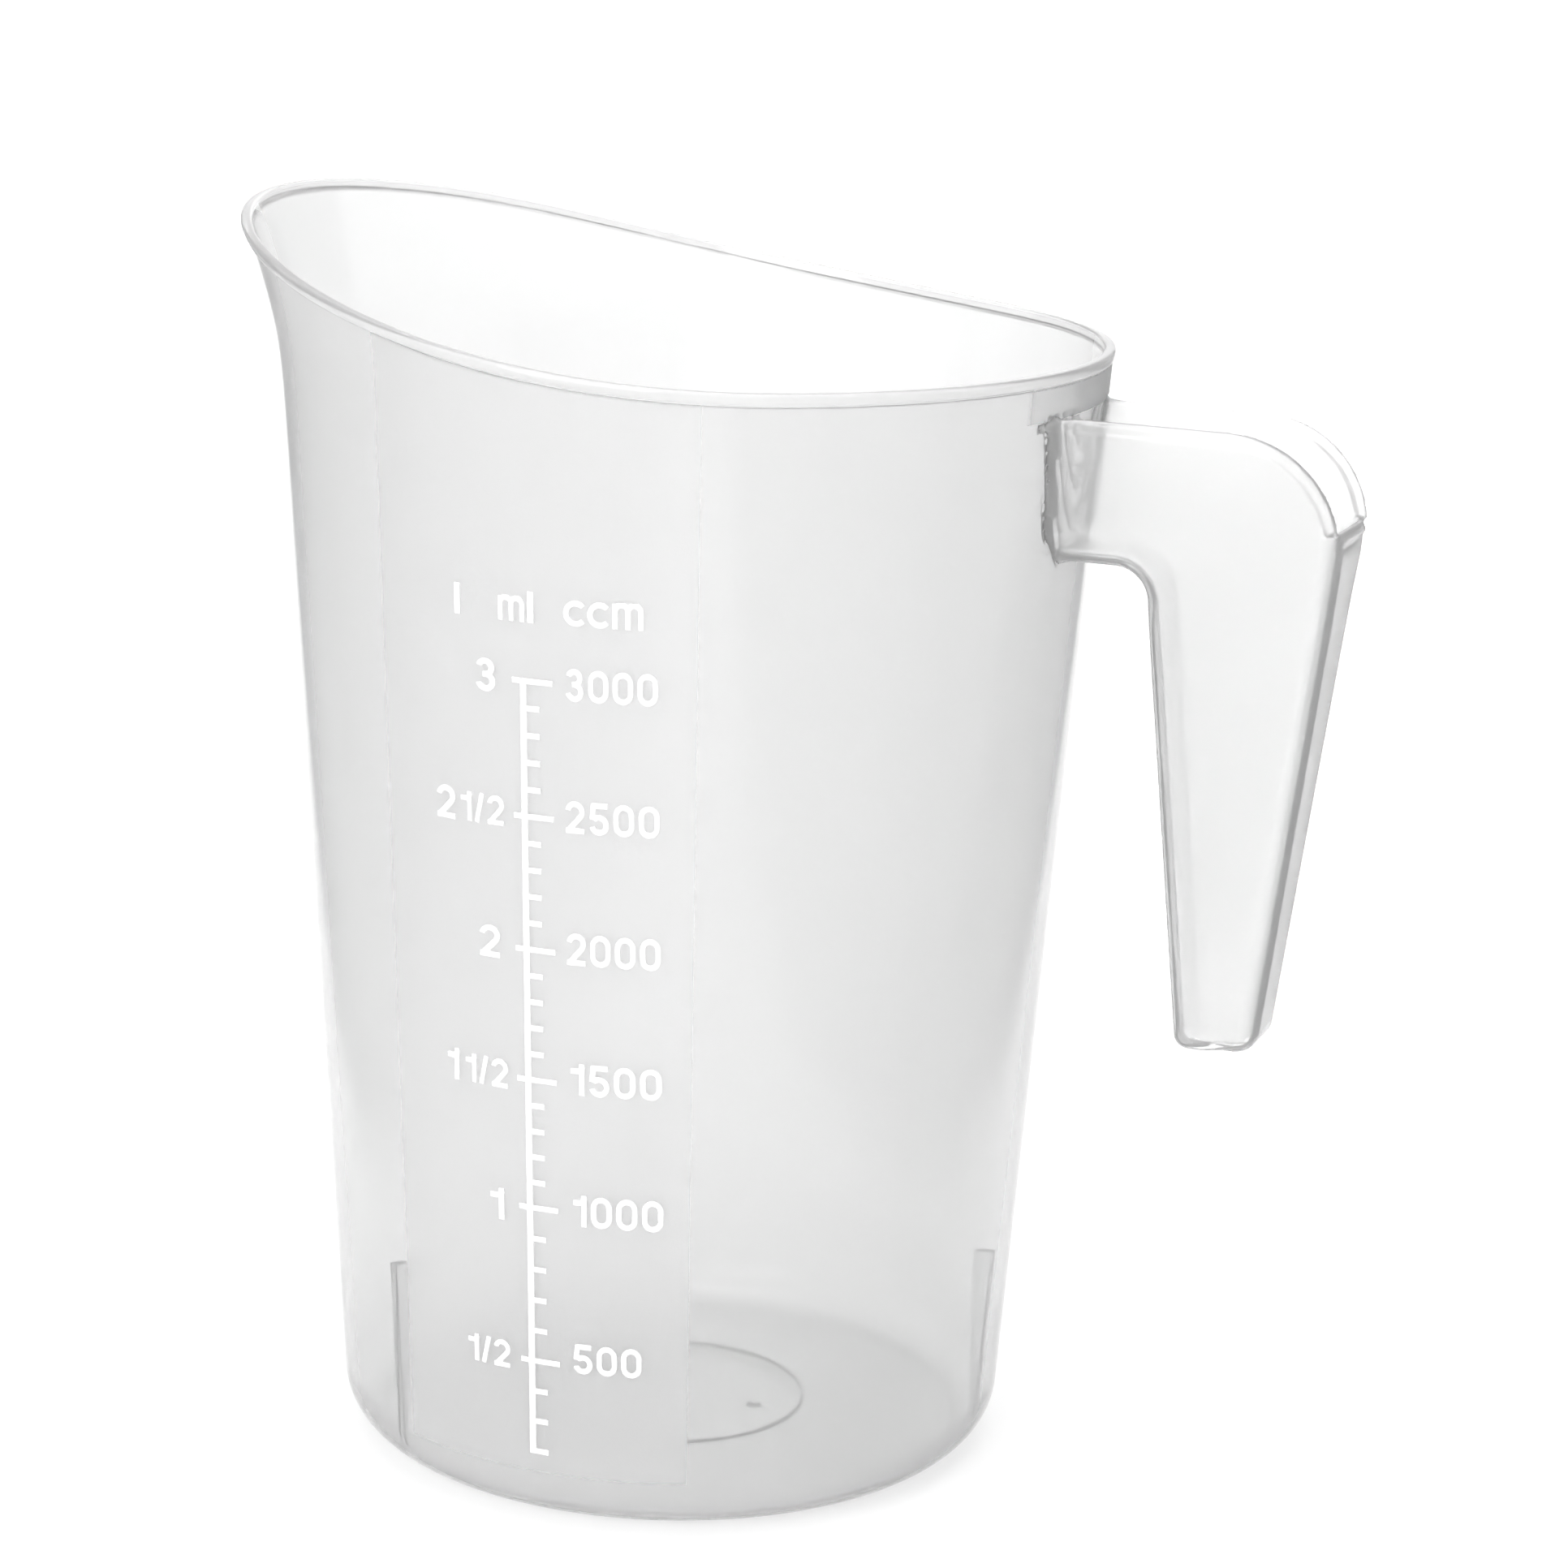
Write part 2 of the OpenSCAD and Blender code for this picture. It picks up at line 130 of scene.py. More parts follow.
class JugHandleSizes(bpy.types.PropertyGroup):
    drop: length("Handle drop", 0.0093, "Drop from the level rim to the handle's open top")
    depth: length("Arm depth", 0.0293, "Depth of the arm below its open top")
    reach: length("Reach", 0.0581, "Reach of the grip's outer line from the wall")
    room: length("Room", 0.0128, "Room between the wall and the grip's inner line")
    out_lean: angle("Outer lean", 6.77, "Lean of the grip's outer line")
    in_lean: angle("Inner lean", 6.36, "Lean of the grip's inner line")
    long: length("Length", 0.1266, "From the open top down to the grip's lower end")
    top_w: length("Top width", 0.029, "Width across the open top")
    mid_w: length("Middle width", 0.0214, "Width where arm and grip meet")
    low_w: length("Low width", 0.0176, "Width at the grip's lower end")
    crease: length("Crease drop", 0.004, "Drop from the arm's underside to the sides' crease")
    wall_t: length("Handle wall", 0.002, "Wall thickness of the handle")
    bend_r: length("Bend radius", 0.0222, "Radius of the outer top corner")
    finger_r: length("Finger radius", 0.007, "Radius of the corner above the fingers")
    end_out_r: length("Lower outer radius", 0.005, "Outer radius of the lower end")
    end_in_r: length("Lower inner radius", 0.003, "Inner radius of the lower end")
    under_r: length("Arm edge radius", 0.003, "Radius of the long edges under the arm")
    edge_r: length("Grip edge radius", 0.004, "Radius of the grip's outer long edges")
    mouth: length("Mouth drop", 0.0185, "Drop of the grip's open mouth below the open top")
    bead_h: length("Edge bead height", 0.0022, "Height of the bead along the open top")
    bead_out: length("Edge bead depth", 0.0005, "Distance by which that bead stands out")
    root_r: length("Root radius", 0.0065, "Radius of the sweep into the wall")
    cell: length("Grid cell", 0.00055, "Spacing of the grid on which the handle's surface is found")


class JugScaleSizes(bpy.types.PropertyGroup):
    low: length("Lowest mark", 0.0167, "Height of the 200 ml mark")
    step_low: length("Lower step", 0.00665, "Distance between marks up to one litre")
    step_high: length("Upper step", 0.005435, "Distance between marks above one litre")
    bar_h: length("Bar height", 0.0012, "Height of a mark's bar")
    line_w: length("Line width", 0.0014, "Width of the upright line")
    right: length("Long mark right", 0.0061, "Reach of a long mark to the right")
    left: length("Long mark left", 0.0024, "Reach of a long mark to the left")
    short: length("Short mark", 0.0034, "Reach of a short mark to the right")
    raised: length("Relief", 0.0003, "Distance by which the scale stands out")
    rib_top: length("Rib top", 0.048, "Height of a stacking rib's top")
    rib_t: length("Rib thickness", 0.002, "Thickness of a stacking rib")
    rib_depth: length("Rib depth", 0.0038, "Depth of a stacking rib at its top")


class JugFinish(bpy.types.PropertyGroup):
    resin: colour("Resin", "#F1F1F1", "Natural colour of the polypropylene in the body's wall")
    # low: painted shade, a darker copy of the resin towards the floor and in the rim's bead
    low: colour("Low resin", "#EEEEEE", "The same near the floor and in the rim's bead")
    field: colour("Field resin", "#FAFAFA", "The same under the matt skin of a frosted field")
    # pale: painted light, a lighter copy of the resin that makes the handle look filled with light from its
    # edges
    pale: colour("Handle resin", "#FDFDFD", "The same in the handle, which the light fills from its edges")
    floor: colour("Floor", "#B0B0B0", "Colour of the studio's floor")
    # glow: painted glow, emission of the floor in a pool round the jug and a sheet behind it, which lifts
    # the jug's shadow on the floor
    glow: share("Floor glow", 0.57, "Light that the floor gives from below")
    gloss: share("Polished roughness", 0.06, "Roughness of the polished wall")
    matt: share("Frosted roughness", 0.38, "Roughness of the spark-eroded fields")
    clear: share("Clearness", 0.85, "Share of the light that passes the wall without being scattered")
    milky: share("Handle clearness", 0.76, "The same share in the thicker handle")
    rim_clear: share("Rim clearness", 0.68, "The same share in the rim's bead")


# how far the foot of the lip's sweep lies inside the wall, in millimetres
LIP_SUNK = 0.2


def sizes():
    """All sizes in millimetres and radians, with the values that follow from them."""
    m = SimpleNamespace()
    scene = bpy.context.scene
    for prefix, group in (("", scene.jug_shell), ("h_", scene.jug_handle), ("s_", scene.jug_scale)):
        for key in group.__annotations__:
            value = getattr(group, key)
            as_is = key in ("lean", "climb", "out_lean", "in_lean", "middle_share")
            setattr(m, prefix + key, value if as_is else value / MM)
    m.k = tan(m.lean)
    m.corner_x = m.base_d / 2 + m.k * m.corner_r - m.corner_r / cos(m.lean)
    m.foot_in_r = m.corner_x - m.foot_w
    m.middle_r = m.middle_share * m.foot_in_r
    m.lip_start = m.rim_h - m.lip_drop
    m.lip_x = (m.base_d / 2 + m.k * m.lip_start - m.lip_shift + m.lip_sweep_r * cos(m.lean)
               - LIP_SUNK)
    m.lip_z = m.lip_start - m.lip_sweep_r * sin(m.lean)
    m.arm_top = m.rim_h - m.h_drop
    m.arm_under = m.arm_top - m.h_depth
    m.grip_out = m.base_d / 2 + m.k * m.arm_top + m.h_reach
    m.grip_in = m.base_d / 2 + m.k * m.arm_top + m.h_room
    m.grip_low = m.arm_top - m.h_long
    m.mouth_z = m.arm_top - m.h_mouth
    return m


# Meshes

def add_object(name, data):
    """A new object of the scene that shows the given data."""
    made = bpy.data.objects.new(name, data)
    bpy.context.scene.collection.objects.link(made)
    return made


def give_values(mesh, name, values):
    """Gives each point of a mesh a number that its material reads by name."""
    layer = mesh.attributes.new(name, "FLOAT", "POINT")
    layer.data.foreach_set("value", values.ravel().astype(np.float32))


def enclosed(points, faces):
    """Volume inside triangles and quads: a sixth of the sum of each triangle's corner product."""
    total = 0.0
    for a, b, c in ((0, 1, 2), (0, 2, 3)):
        if faces.shape[1] > c:
            total += np.einsum("ij,ij->", points[faces[:, a]],
                               np.cross(points[faces[:, b]], points[faces[:, c]]))
    return total / 6


def make_piece(name, points, groups, material, smooth, frosted=None, second=None):
    """A closed mesh from points in millimetres and groups of faces, with outward normals.

    Edges sharper than smooth, in degrees, stay sharp. frosted says how much of the spark-eroded
    texture each point has, and second is another material with the first of the faces that take it
    and the one after the last."""
    volume = sum(enclosed(points, g) for g in groups)
    if volume < 0:
        groups = [g[:, ::-1] for g in groups]
    mesh = bpy.data.meshes.new(name)
    counts = np.concatenate([np.full(len(g), g.shape[1]) for g in groups])
    corners = np.concatenate([g.ravel() for g in groups])
    mesh.vertices.add(len(points))
    mesh.vertices.foreach_set("co", (points * MM).astype(np.float32).ravel())
    mesh.loops.add(len(corners))
    mesh.loops.foreach_set("vertex_index", corners.astype(np.int32))
    mesh.polygons.add(len(counts))
    mesh.polygons.foreach_set("loop_start", np.concatenate([[0], np.cumsum(counts)[:-1]]).astype(np.int32))
    mesh.polygons.foreach_set("loop_total", counts.astype(np.int32))
    mesh.update(calc_edges=True)
    mesh.validate()
    mesh.materials.append(material)
    if second is not None:
        mesh.materials.append(second[0])
        chosen = np.zeros(len(mesh.polygons), np.int32)
        chosen[second[1]:second[2]] = 1
        mesh.polygons.foreach_set("material_index", chosen)
    if frosted is not None:
        give_values(mesh, "frosted", frosted)
    mesh.polygons.foreach_set("use_smooth", np.ones(len(mesh.polygons), bool))
    if smooth:
        mesh.set_sharp_from_angle(angle=radians(smooth))
    return add_object(name, mesh)


def ring_faces(rows, columns):
    """Quads between neighbouring rows of a grid whose columns close on themselves."""
    index = np.arange(rows * columns).reshape(rows, columns)
    right = np.roll(index, -1, 1)
    return np.stack([index[:-1], right[:-1], right[1:], index[1:]], -1).reshape(-1, 4)


def sheet_faces(index):
    """Quads between neighbouring points of an open grid, given each point's number."""
    return np.stack([index[:-1, :-1], index[1:, :-1], index[1:, 1:], index[:-1, 1:]], -1).reshape(-1, 4)


def closed_stack(grid, ends, start=0):
    """Points, quads and triangles of a stack of rings, each end closed by a fan to one point. The
    points are numbered from start."""
    rows, columns = grid.shape[:2]
    points = np.concatenate([grid.reshape(-1, 3), ends])
    low_ring = start + np.arange(columns)
    top_ring = low_ring + (rows - 1) * columns
    centre = np.full(columns, start + rows * columns)
    fans = [np.stack([centre, np.roll(low_ring, -1), low_ring], -1),
            np.stack([centre + 1, top_ring, np.roll(top_ring, -1)], -1)]
    return points, ring_faces(rows, columns) + start, np.concatenate(fans)


def settle(piece, slot, *nodes):
    """The piece rides on the jug and stands for the given solids, which are hidden. slot is not used."""
    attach(piece, "root")
    if nodes:
        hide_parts(*nodes)


# The shell of the jug

# how far round its circle the lip may sweep, how fast it falls away below its foot, and the height
# of the band in millimetres over which it blends with the wall
STEEPEST = 0.98
FALL = 0.25
LIP_BLEND = 1.0
# half the angle of a field that the grid's columns are set to, half the distance between the close
# columns at an edge, and the band kept free of even columns, all in degrees
FIELD_ANGLE = 24.5
CLOSE = 0.3
FREE = 0.6
# half the distance between the close rows at an edge, in millimetres
NEAR = 0.07
# how many columns are even, and how many rows the outer corner, the wall outside, the wall inside and
# the inner corner have
COLUMNS = 400
OUTER_CORNER, OUTSIDE, INSIDE, INNER_CORNER = 20, 66, 72, 18
# what a row of the grid crosses: nothing raised, the frosted fields, the field over the arm, both,
# or the inside of the corner
PLAIN, FIELD, PAD, BOTH, CORNER = range(5)
# how matt the inside of the corner is, next to a frosted field, and how far it takes the lighter field
# colour: painted light for the bright crescent that the corner shows
CORNER_MATT_AND_PAINTED_LIGHT = 0.7


def soft_max(a, b, k):
    """The greater of two values, blended over a band k wide by a parabola."""
    return np.maximum(a, b) + np.maximum(k - np.abs(a - b), 0) ** 2 / (4 * k)


def shell_radius(m, turn, z, inward):
    """Radius of the shell at an angle and height, drawn in by inward.

    The wall is a cone. The lip is a circle about its own shifted axis, whose radius is the sweep's
    middle less the root of the swept radius squared less the height squared. Below its foot the lip
    falls away under the wall, and the greater of the two, blended, is the surface.
    """
    wall = m.base_d / 2 + m.k * z - inward / cos(m.lean)
    r = m.lip_sweep_r + inward
    foot = m.lip_start + inward * sin(m.lean)
    rise = np.clip(np.maximum(z, foot) - m.lip_z, 0, STEEPEST * r)
    lip = m.lip_x - np.sqrt(r * r - rise * rise) - FALL * np.maximum(foot - z, 0)
    lip = -m.lip_shift * np.cos(turn) + np.sqrt(
        np.maximum(lip * lip - (m.lip_shift * np.sin(turn)) ** 2, 0))
    return soft_max(wall, lip, LIP_BLEND)


def rim_height(m, x):
    """Height of the rim's plane curve: level, then a circular sweep, then a straight climb."""
    run = m.rim_sweep_r * sin(m.climb)
    bent = np.clip(m.rim_start - x, 0, run)
    return (m.rim_h + m.rim_sweep_r - np.sqrt(m.rim_sweep_r ** 2 - bent ** 2)
            + np.maximum(m.rim_start - x - run, 0) * tan(m.climb))


def rim_line(m, turn):
    """Height of the rim at each angle, found by going to and fro between radius and height."""
    rounds = 30
    z = np.full_like(turn, m.rim_h)
    for _ in range(rounds):
        z = rim_height(m, shell_radius(m, turn, z, 0) * np.cos(turn))
    return z


def field_half_angle(m, z):
    """Half the angle that a frosted field takes up at a height."""
    grow = (m.field_top_w - m.field_low_w) / (m.rim_h - m.corner_r)
    wide = m.field_low_w + grow * (np.maximum(z, m.corner_r) - m.corner_r)
    return np.arcsin(wide / (m.base_d / 2 + m.k * z + m.field_t))


def shell_columns(m):
    """Angles of the grid: even ones, and a close pair along each edge of a field."""
    field = radians(FIELD_ANGLE)
    pad = asin(m.pad_w / 2 / (m.base_d / 2 + m.k * m.arm_top))
    edges = np.array([-pi / 2 - field, -pi / 2 + field, pi / 2 - field, pi / 2 + field, -pad, pad])
    even = np.linspace(-pi, pi, COLUMNS, endpoint=False)
    near = np.abs(even[:, None] - edges[None]).min(1) < radians(FREE)
    pairs = (edges[:, None] + radians(CLOSE) * np.array([[-1, 1]])).ravel()
    return np.sort(np.concatenate([even[~near], pairs])), field, pad


def underside_rows(m):
    """Rows from the middle of the underside out and round the outer corner."""
    rows = [(r, m.floor_rise) for r in (7, 14, 21, m.middle_r - 0.4)]
    rows += [(m.middle_r + t * (m.foot_in_r - m.middle_r), m.floor_rise * (1 - t))
             for t in (0, 0.012, 0.2, 0.5, 0.8, 0.988, 1)]
    rows += [(m.foot_in_r + 0.3, 0), (m.corner_x - 0.3, 0)]
    rows += [(m.corner_x + m.corner_r * cos(a), m.corner_r + m.corner_r * sin(a))
             for a in np.linspace(-pi / 2, -m.lean, OUTER_CORNER)]
    return [(r, z, PLAIN) for r, z in rows]


def outside_rows(m, turn, rim):
    """Rows up the wall outside, close together at the edges of the fields."""
    low, top = m.corner_r, rim - m.h_drop - NEAR
    field_end = m.bead_h + m.field_gap
    levels = [(low - NEAR, PLAIN), (low + NEAR, FIELD)]
    for t in np.linspace(0, 1, OUTSIDE)[1:-1]:
        share_up = t + 0.12 * sin(pi * t) * t
        levels.append((low + NEAR + share_up * (top - low - NEAR), FIELD))
    levels += [(rim - d, mark) for d, mark in (
        (m.h_drop + NEAR, FIELD), (m.h_drop - NEAR, BOTH), (8, BOTH), (6.6, BOTH), (5.2, BOTH), (4.3, BOTH),
        (field_end + NEAR, BOTH), (field_end - NEAR, PAD), (m.bead_h + 0.7, PAD), (m.bead_h + 0.4, PAD))]
    return [(shell_radius(m, turn, z, 0), z, mark) for z, mark in levels]


def bead_rows(m, turn, rim):
    """Rows over the bead, by share of its depth and distance below the rim, and over the rim's edge,
    by share of the wall's thickness. The field over the arm ends 0.2 mm below the bead."""
    rows = [(shell_radius(m, turn, rim - d, 0) + part * m.bead_out, rim - d,
             PAD if d > m.bead_h + 0.2 else PLAIN)
            for part, d in ((0.12, m.bead_h + 0.22), (0.5, m.bead_h + 0.1), (0.88, m.bead_h - 0.06),
                            (1, m.bead_h - 0.3), (1, 1.4), (1, 0.9), (0.92, 0.55), (0.7, 0.27),
                            (0.38, 0.08), (0, 0))]
    thick = shell_radius(m, turn, rim, 0) - shell_radius(m, turn, rim, m.wall_t)
    return rows + [(shell_radius(m, turn, rim - d, 0) - part * thick, rim - d, PLAIN)
                   for part, d in ((0.35, 0), (0.65, 0), (0.85, 0.06), (0.96, 0.25))]


def inside_rows(m, turn, rim):
    """Rows down the wall inside and round the inner corner, which has a fine ridge round the floor."""
    low, top = m.corner_r - (m.corner_r - m.wall_t) * sin(m.lean), rim - 0.6
    rows = []
    for t in np.linspace(0, 1, INSIDE)[:-1]:
        z = top - (t - 0.1 * sin(pi * t) * (1 - t)) * (top - low)
        rows.append((shell_radius(m, turn, z, m.wall_t), z, PLAIN))
    inner = m.corner_r - m.wall_t
    ridge_half = radians(2.2)
    at_ring = -np.arccos((m.ring_r - m.corner_x) / inner)
    turns = np.linspace(-m.lean, -pi / 2, INNER_CORNER)
    close = at_ring + np.radians([-3.6, -2.2, -1.5, -0.7, 0, 0.7, 1.5, 2.2, 3.6])
    turns = np.concatenate([turns[np.abs(turns - at_ring) > radians(4.5)], close])
    for a in np.sort(turns)[::-1]:
        r = inner - m.ring_h * max(0, 1 - ((a - at_ring) / ridge_half) ** 2)
        rows.append((m.corner_x + r * cos(a), m.corner_r + r * sin(a), CORNER if a > at_ring else PLAIN))
    return rows


def floor_rows(m):
    """Rows in over the floor, whose middle is a step higher and has a fine ridge along its edge."""
    high = m.wall_t + m.floor_rise + m.floor_step
    rows = [(m.corner_x - 0.3, m.wall_t), (m.foot_in_r + 0.3, m.wall_t)]
    rows += [(m.foot_in_r + t * (m.middle_r + 0.25 - m.foot_in_r), m.wall_t + m.floor_rise * t * 0.995)
             for t in (0, 0.012, 0.2, 0.5, 0.8, 0.98, 1)]
    rows += [(m.middle_r + r, high + lift) for r, lift in (
        (0.08, -0.3), (-0.02, 0.04), (-0.16, 0.14), (-0.4, 0.14), (-0.54, 0.06), (-0.7, 0))]
    rows += [(r, high) for r in (22, 15, 8)]
    return [(r, z, PLAIN) for r, z in rows]


def shell_grid(m):
    """The shell as a grid: a profile that runs from the middle of the underside out and up the wall,
    over the bead and down the inside to the middle of the floor. A row is a radius, a height and a mark.

    Returned are the columns' angles, the grid's radii and heights, the rows' marks, the half angles of
    the fields and of the one over the arm, and the first of the bead's rows and the one after its last.
    """
    turn, field, pad = shell_columns(m)
    rim = rim_line(m, turn)
    rows = underside_rows(m) + outside_rows(m, turn, rim)
    bead = [len(rows) - 1]
    rows += bead_rows(m, turn, rim)
    bead.append(len(rows))
    rows += inside_rows(m, turn, rim) + floor_rows(m)
    radius, height = (np.array([row[i] * np.ones(len(turn)) for row in rows]) for i in (0, 1))
    return turn, radius, height, np.array([row[2] for row in rows]), field, pad, bead


def jug_shell(m, material, rim_material):
    """The whole shell. Frosted fields and the field over the arm are raised parts of its grid, and the
    inside of the corner is a little less matt than they are, and painted lighter: painted light for the
    bright crescent that the corner shows."""
    turn, radius, height, marks, field, pad, bead = shell_grid(m)
    centre = np.where(turn < 0, -pi / 2, pi / 2)
    beside = turn - centre
    in_field = np.abs(beside) < field
    in_pad = np.abs(turn) < pad
    # the columns lean with the fields' edges: a hat that is one at an edge and nought at its brim
    brim = radians(12)
    hat = np.maximum(0, 1 - np.abs(np.abs(beside) - field) / brim) * np.sign(beside)
    outside = np.arange(len(marks)) <= np.nonzero(marks == PAD)[0].max()
    lean = np.where(outside[:, None], field_half_angle(m, np.clip(height, m.corner_r, None)) - field, 0)
    fade = np.clip(height / m.corner_r, 0, 1)
    angles = turn[None] + lean * fade * hat[None]
    field_rows = ((marks == FIELD) | (marks == BOTH))[:, None]
    pad_rows = ((marks == BOTH) | (marks == PAD))[:, None]
    raised = field_rows & in_field[None]
    padded = pad_rows & in_pad[None]
    radius = radius + m.field_t * raised + m.pad_t * padded
    # the inside of the corner gets part of the frosted share, which also paints it lighter: painted light
    frosted = np.maximum(raised | padded, CORNER_MATT_AND_PAINTED_LIGHT * (marks == CORNER)[:, None])
    grid = np.stack([radius * np.cos(angles), radius * np.sin(angles), height], -1)
    ends = [[0, 0, m.floor_rise], [0, 0, m.wall_t + m.floor_rise + m.floor_step]]
    points, *faces = closed_stack(grid, ends)
    first, last = (row * len(turn) for row in bead)
    return make_piece("jug_shell", points, faces, material, smooth=32,
                      frosted=np.append(frosted.ravel(), [0, 0]), second=(rim_material, first, last))


# The handle

# how far the handle and the ribs reach into the wall that carries them, in millimetres
SUNK = 0.35


def rounded(points, radii, step=6):
    """An outline through the points, each corner swept by its radius as a short run of points."""
    out = []
    count = len(points)
    p = np.array(points, float)
    for i in range(count):
        to = [p[(i - 1) % count] - p[i], p[(i + 1) % count] - p[i]]
        u, v = (d / np.linalg.norm(d) for d in to)
        if radii[i] <= 0:
            out.append(p[i][None])
            continue
        half = np.arccos(u @ v) / 2
        middle = p[i] + radii[i] / sin(half) * (u + v) / np.linalg.norm(u + v)
        a = p[i] + radii[i] / tan(half) * u - middle
        b = p[i] + radii[i] / tan(half) * v - middle
        sweep = pi - 2 * half
        t = np.linspace(0, 1, max(4, int(np.degrees(sweep) / step)))[:, None]
        out.append(middle + (np.sin((1 - t) * sweep) * a + np.sin(t * sweep) * b) / sin(sweep))
    return np.concatenate(out)


def outline_distance(x, z, outline):
    """Distance from each point of a plane grid to an outline, less than nought inside it.

    It is the least distance to the outline's segments, its sign found by counting crossings.
    """
    a, b = outline, np.roll(outline, -1, 0)
    px, pz = x.ravel()[:, None], z.ravel()[:, None]
    ex, ez = (b - a)[:, 0], (b - a)[:, 1]
    t = np.clip(((px - a[:, 0]) * ex + (pz - a[:, 1]) * ez) / (ex * ex + ez * ez), 0, 1)
    near = np.sqrt((px - a[:, 0] - t * ex) ** 2 + (pz - a[:, 1] - t * ez) ** 2).min(1)
    spans = (a[:, 1] > pz) != (b[:, 1] > pz)
    cut = a[:, 0] + (pz - a[:, 1]) * ex / np.where(ez == 0, 1e-9, ez)
    inside = (spans & (px < cut)).sum(1) % 2 == 1
    return np.where(inside, -near, near).reshape(x.shape)


def meet(a, b, r):
    """Both of two solids, with the edge between them rounded by radius r."""
    return (np.minimum(np.maximum(a + r, b + r), 0)
            + np.sqrt(np.maximum(a + r, 0) ** 2 + np.maximum(b + r, 0) ** 2) - r)


def join(a, b, r):
    """Either of two solids, with the hollow edge between them filled by radius r."""
    return (np.maximum(np.minimum(a - r, b - r), 0)
            - np.sqrt(np.maximum(r - a, 0) ** 2 + np.maximum(r - b, 0) ** 2) + r)


def ease(t):
    """A smooth step from nought to one."""
    t = np.clip(t, 0, 1)
    return t * t * (3 - 2 * t)


# radii in millimetres: of a moulded edge, of the sweep under the arm, of the grip's inner edges, of the
# join between a bead and a side, and the least one in the hollow
FINE, SMALL, THIN, SOFT, LEAST = 0.3, 1.5, 1.6, 0.4, 0.6


def out_x(m, z):
    """Place of the grip's outer line at a height."""
    return m.grip_out - (m.arm_top - z) * tan(m.h_out_lean)


def in_x(m, z):
    """Place of the grip's inner line at a height."""
    return m.grip_in + (m.arm_top - z) * tan(m.h_in_lean)


def side_views(m, gx, gz):
    """Distances in the side view: to the handle, to its hollow, and to what lies under the bead."""
    t, far, above_all = m.h_wall_t, 300, 400
    low, under = m.grip_low + t, m.arm_under + t
    t_in, t_out = t / cos(m.h_in_lean), t / cos(m.h_out_lean)
    outlines = (
        ([[0, m.arm_under], [in_x(m, m.arm_under), m.arm_under], [in_x(m, m.grip_low), m.grip_low],
          [out_x(m, m.grip_low), m.grip_low], [out_x(m, m.arm_top), m.arm_top], [0, m.arm_top]],
         [0, m.h_finger_r, m.h_end_in_r, m.h_end_out_r, m.h_bend_r, 0]),
        ([[0, under], [in_x(m, under) + t_in, under], [in_x(m, low) + t_in, low],
          [out_x(m, low) - t_out, low], [out_x(m, m.mouth_z) - t_out, m.mouth_z], [far, m.mouth_z],
          [far, above_all], [0, above_all]],
         [0, m.h_finger_r + t, max(m.h_end_in_r - t, 0.5), m.h_end_out_r - t, 0, 0, 0, 0]),
        ([[0, m.grip_low], [out_x(m, m.grip_low) - m.h_bead_h, m.grip_low],
          [out_x(m, m.arm_top) - m.h_bead_h, m.arm_top - m.h_bead_h], [0, m.arm_top - m.h_bead_h]],
         [0, 0, m.h_bend_r - m.h_bead_h, 0]))
    return [outline_distance(gx, gz, rounded(*outline))[:, None, :] for outline in outlines]


def flanks(m, x, y, z):
    """Distance to the handle's two sides, and distance from the jug. The sides have two slopes with a
    soft crease between them, and sweep out towards the jug."""
    span_crease, span_root = 4, 6
    slope = (m.h_top_w - m.h_mid_w) / 2 / m.h_depth
    crease_z = m.arm_under - m.h_crease
    at_crease = m.h_mid_w / 2 - slope * m.h_crease
    low_slope = (at_crease - m.h_low_w / 2) / (crease_z - m.grip_low)
    above = z - crease_z
    half = at_crease + low_slope * above + (slope - low_slope) * (
        above + np.sqrt(above ** 2 + span_crease ** 2)) / 2
    wide = (np.abs(y)[None, :, None] - half[None, None, :]) * cos(atan(slope))
    across = np.sqrt(x[:, None, None] ** 2 + y[None, :, None] ** 2)
    away = (across - (m.base_d / 2 + m.k * z[None, None, :])) * cos(m.lean)
    sweep = (SMALL + (m.h_root_r - SMALL) * ease((z - m.arm_under - 1) / span_root))[None, None, :]
    return join(wide, away + FINE, sweep), away


def edge_radii(m, gx, gz):
    """Radius of the long edges. It grows across the grip and from the grip up to the arm, and falls to
    a tenth at the mouth."""
    span_across, span_up, start_up, span_mouth = 6, 16, 14, 5
    outer_half = ease((gx - (in_x(m, gz) + out_x(m, gz)) / 2) / span_across + 0.5)
    blend = ease((gz - (m.arm_under - start_up)) / span_up)
    edge = ((1 - blend) * (THIN + (m.h_edge_r - THIN) * outer_half)
            + blend * (m.h_under_r + (m.h_edge_r - m.h_under_r) * outer_half))
    return (edge * (1 - 0.9 * ease((gz - m.mouth_z + 1) / span_mouth)))[:, None, :] + FINE


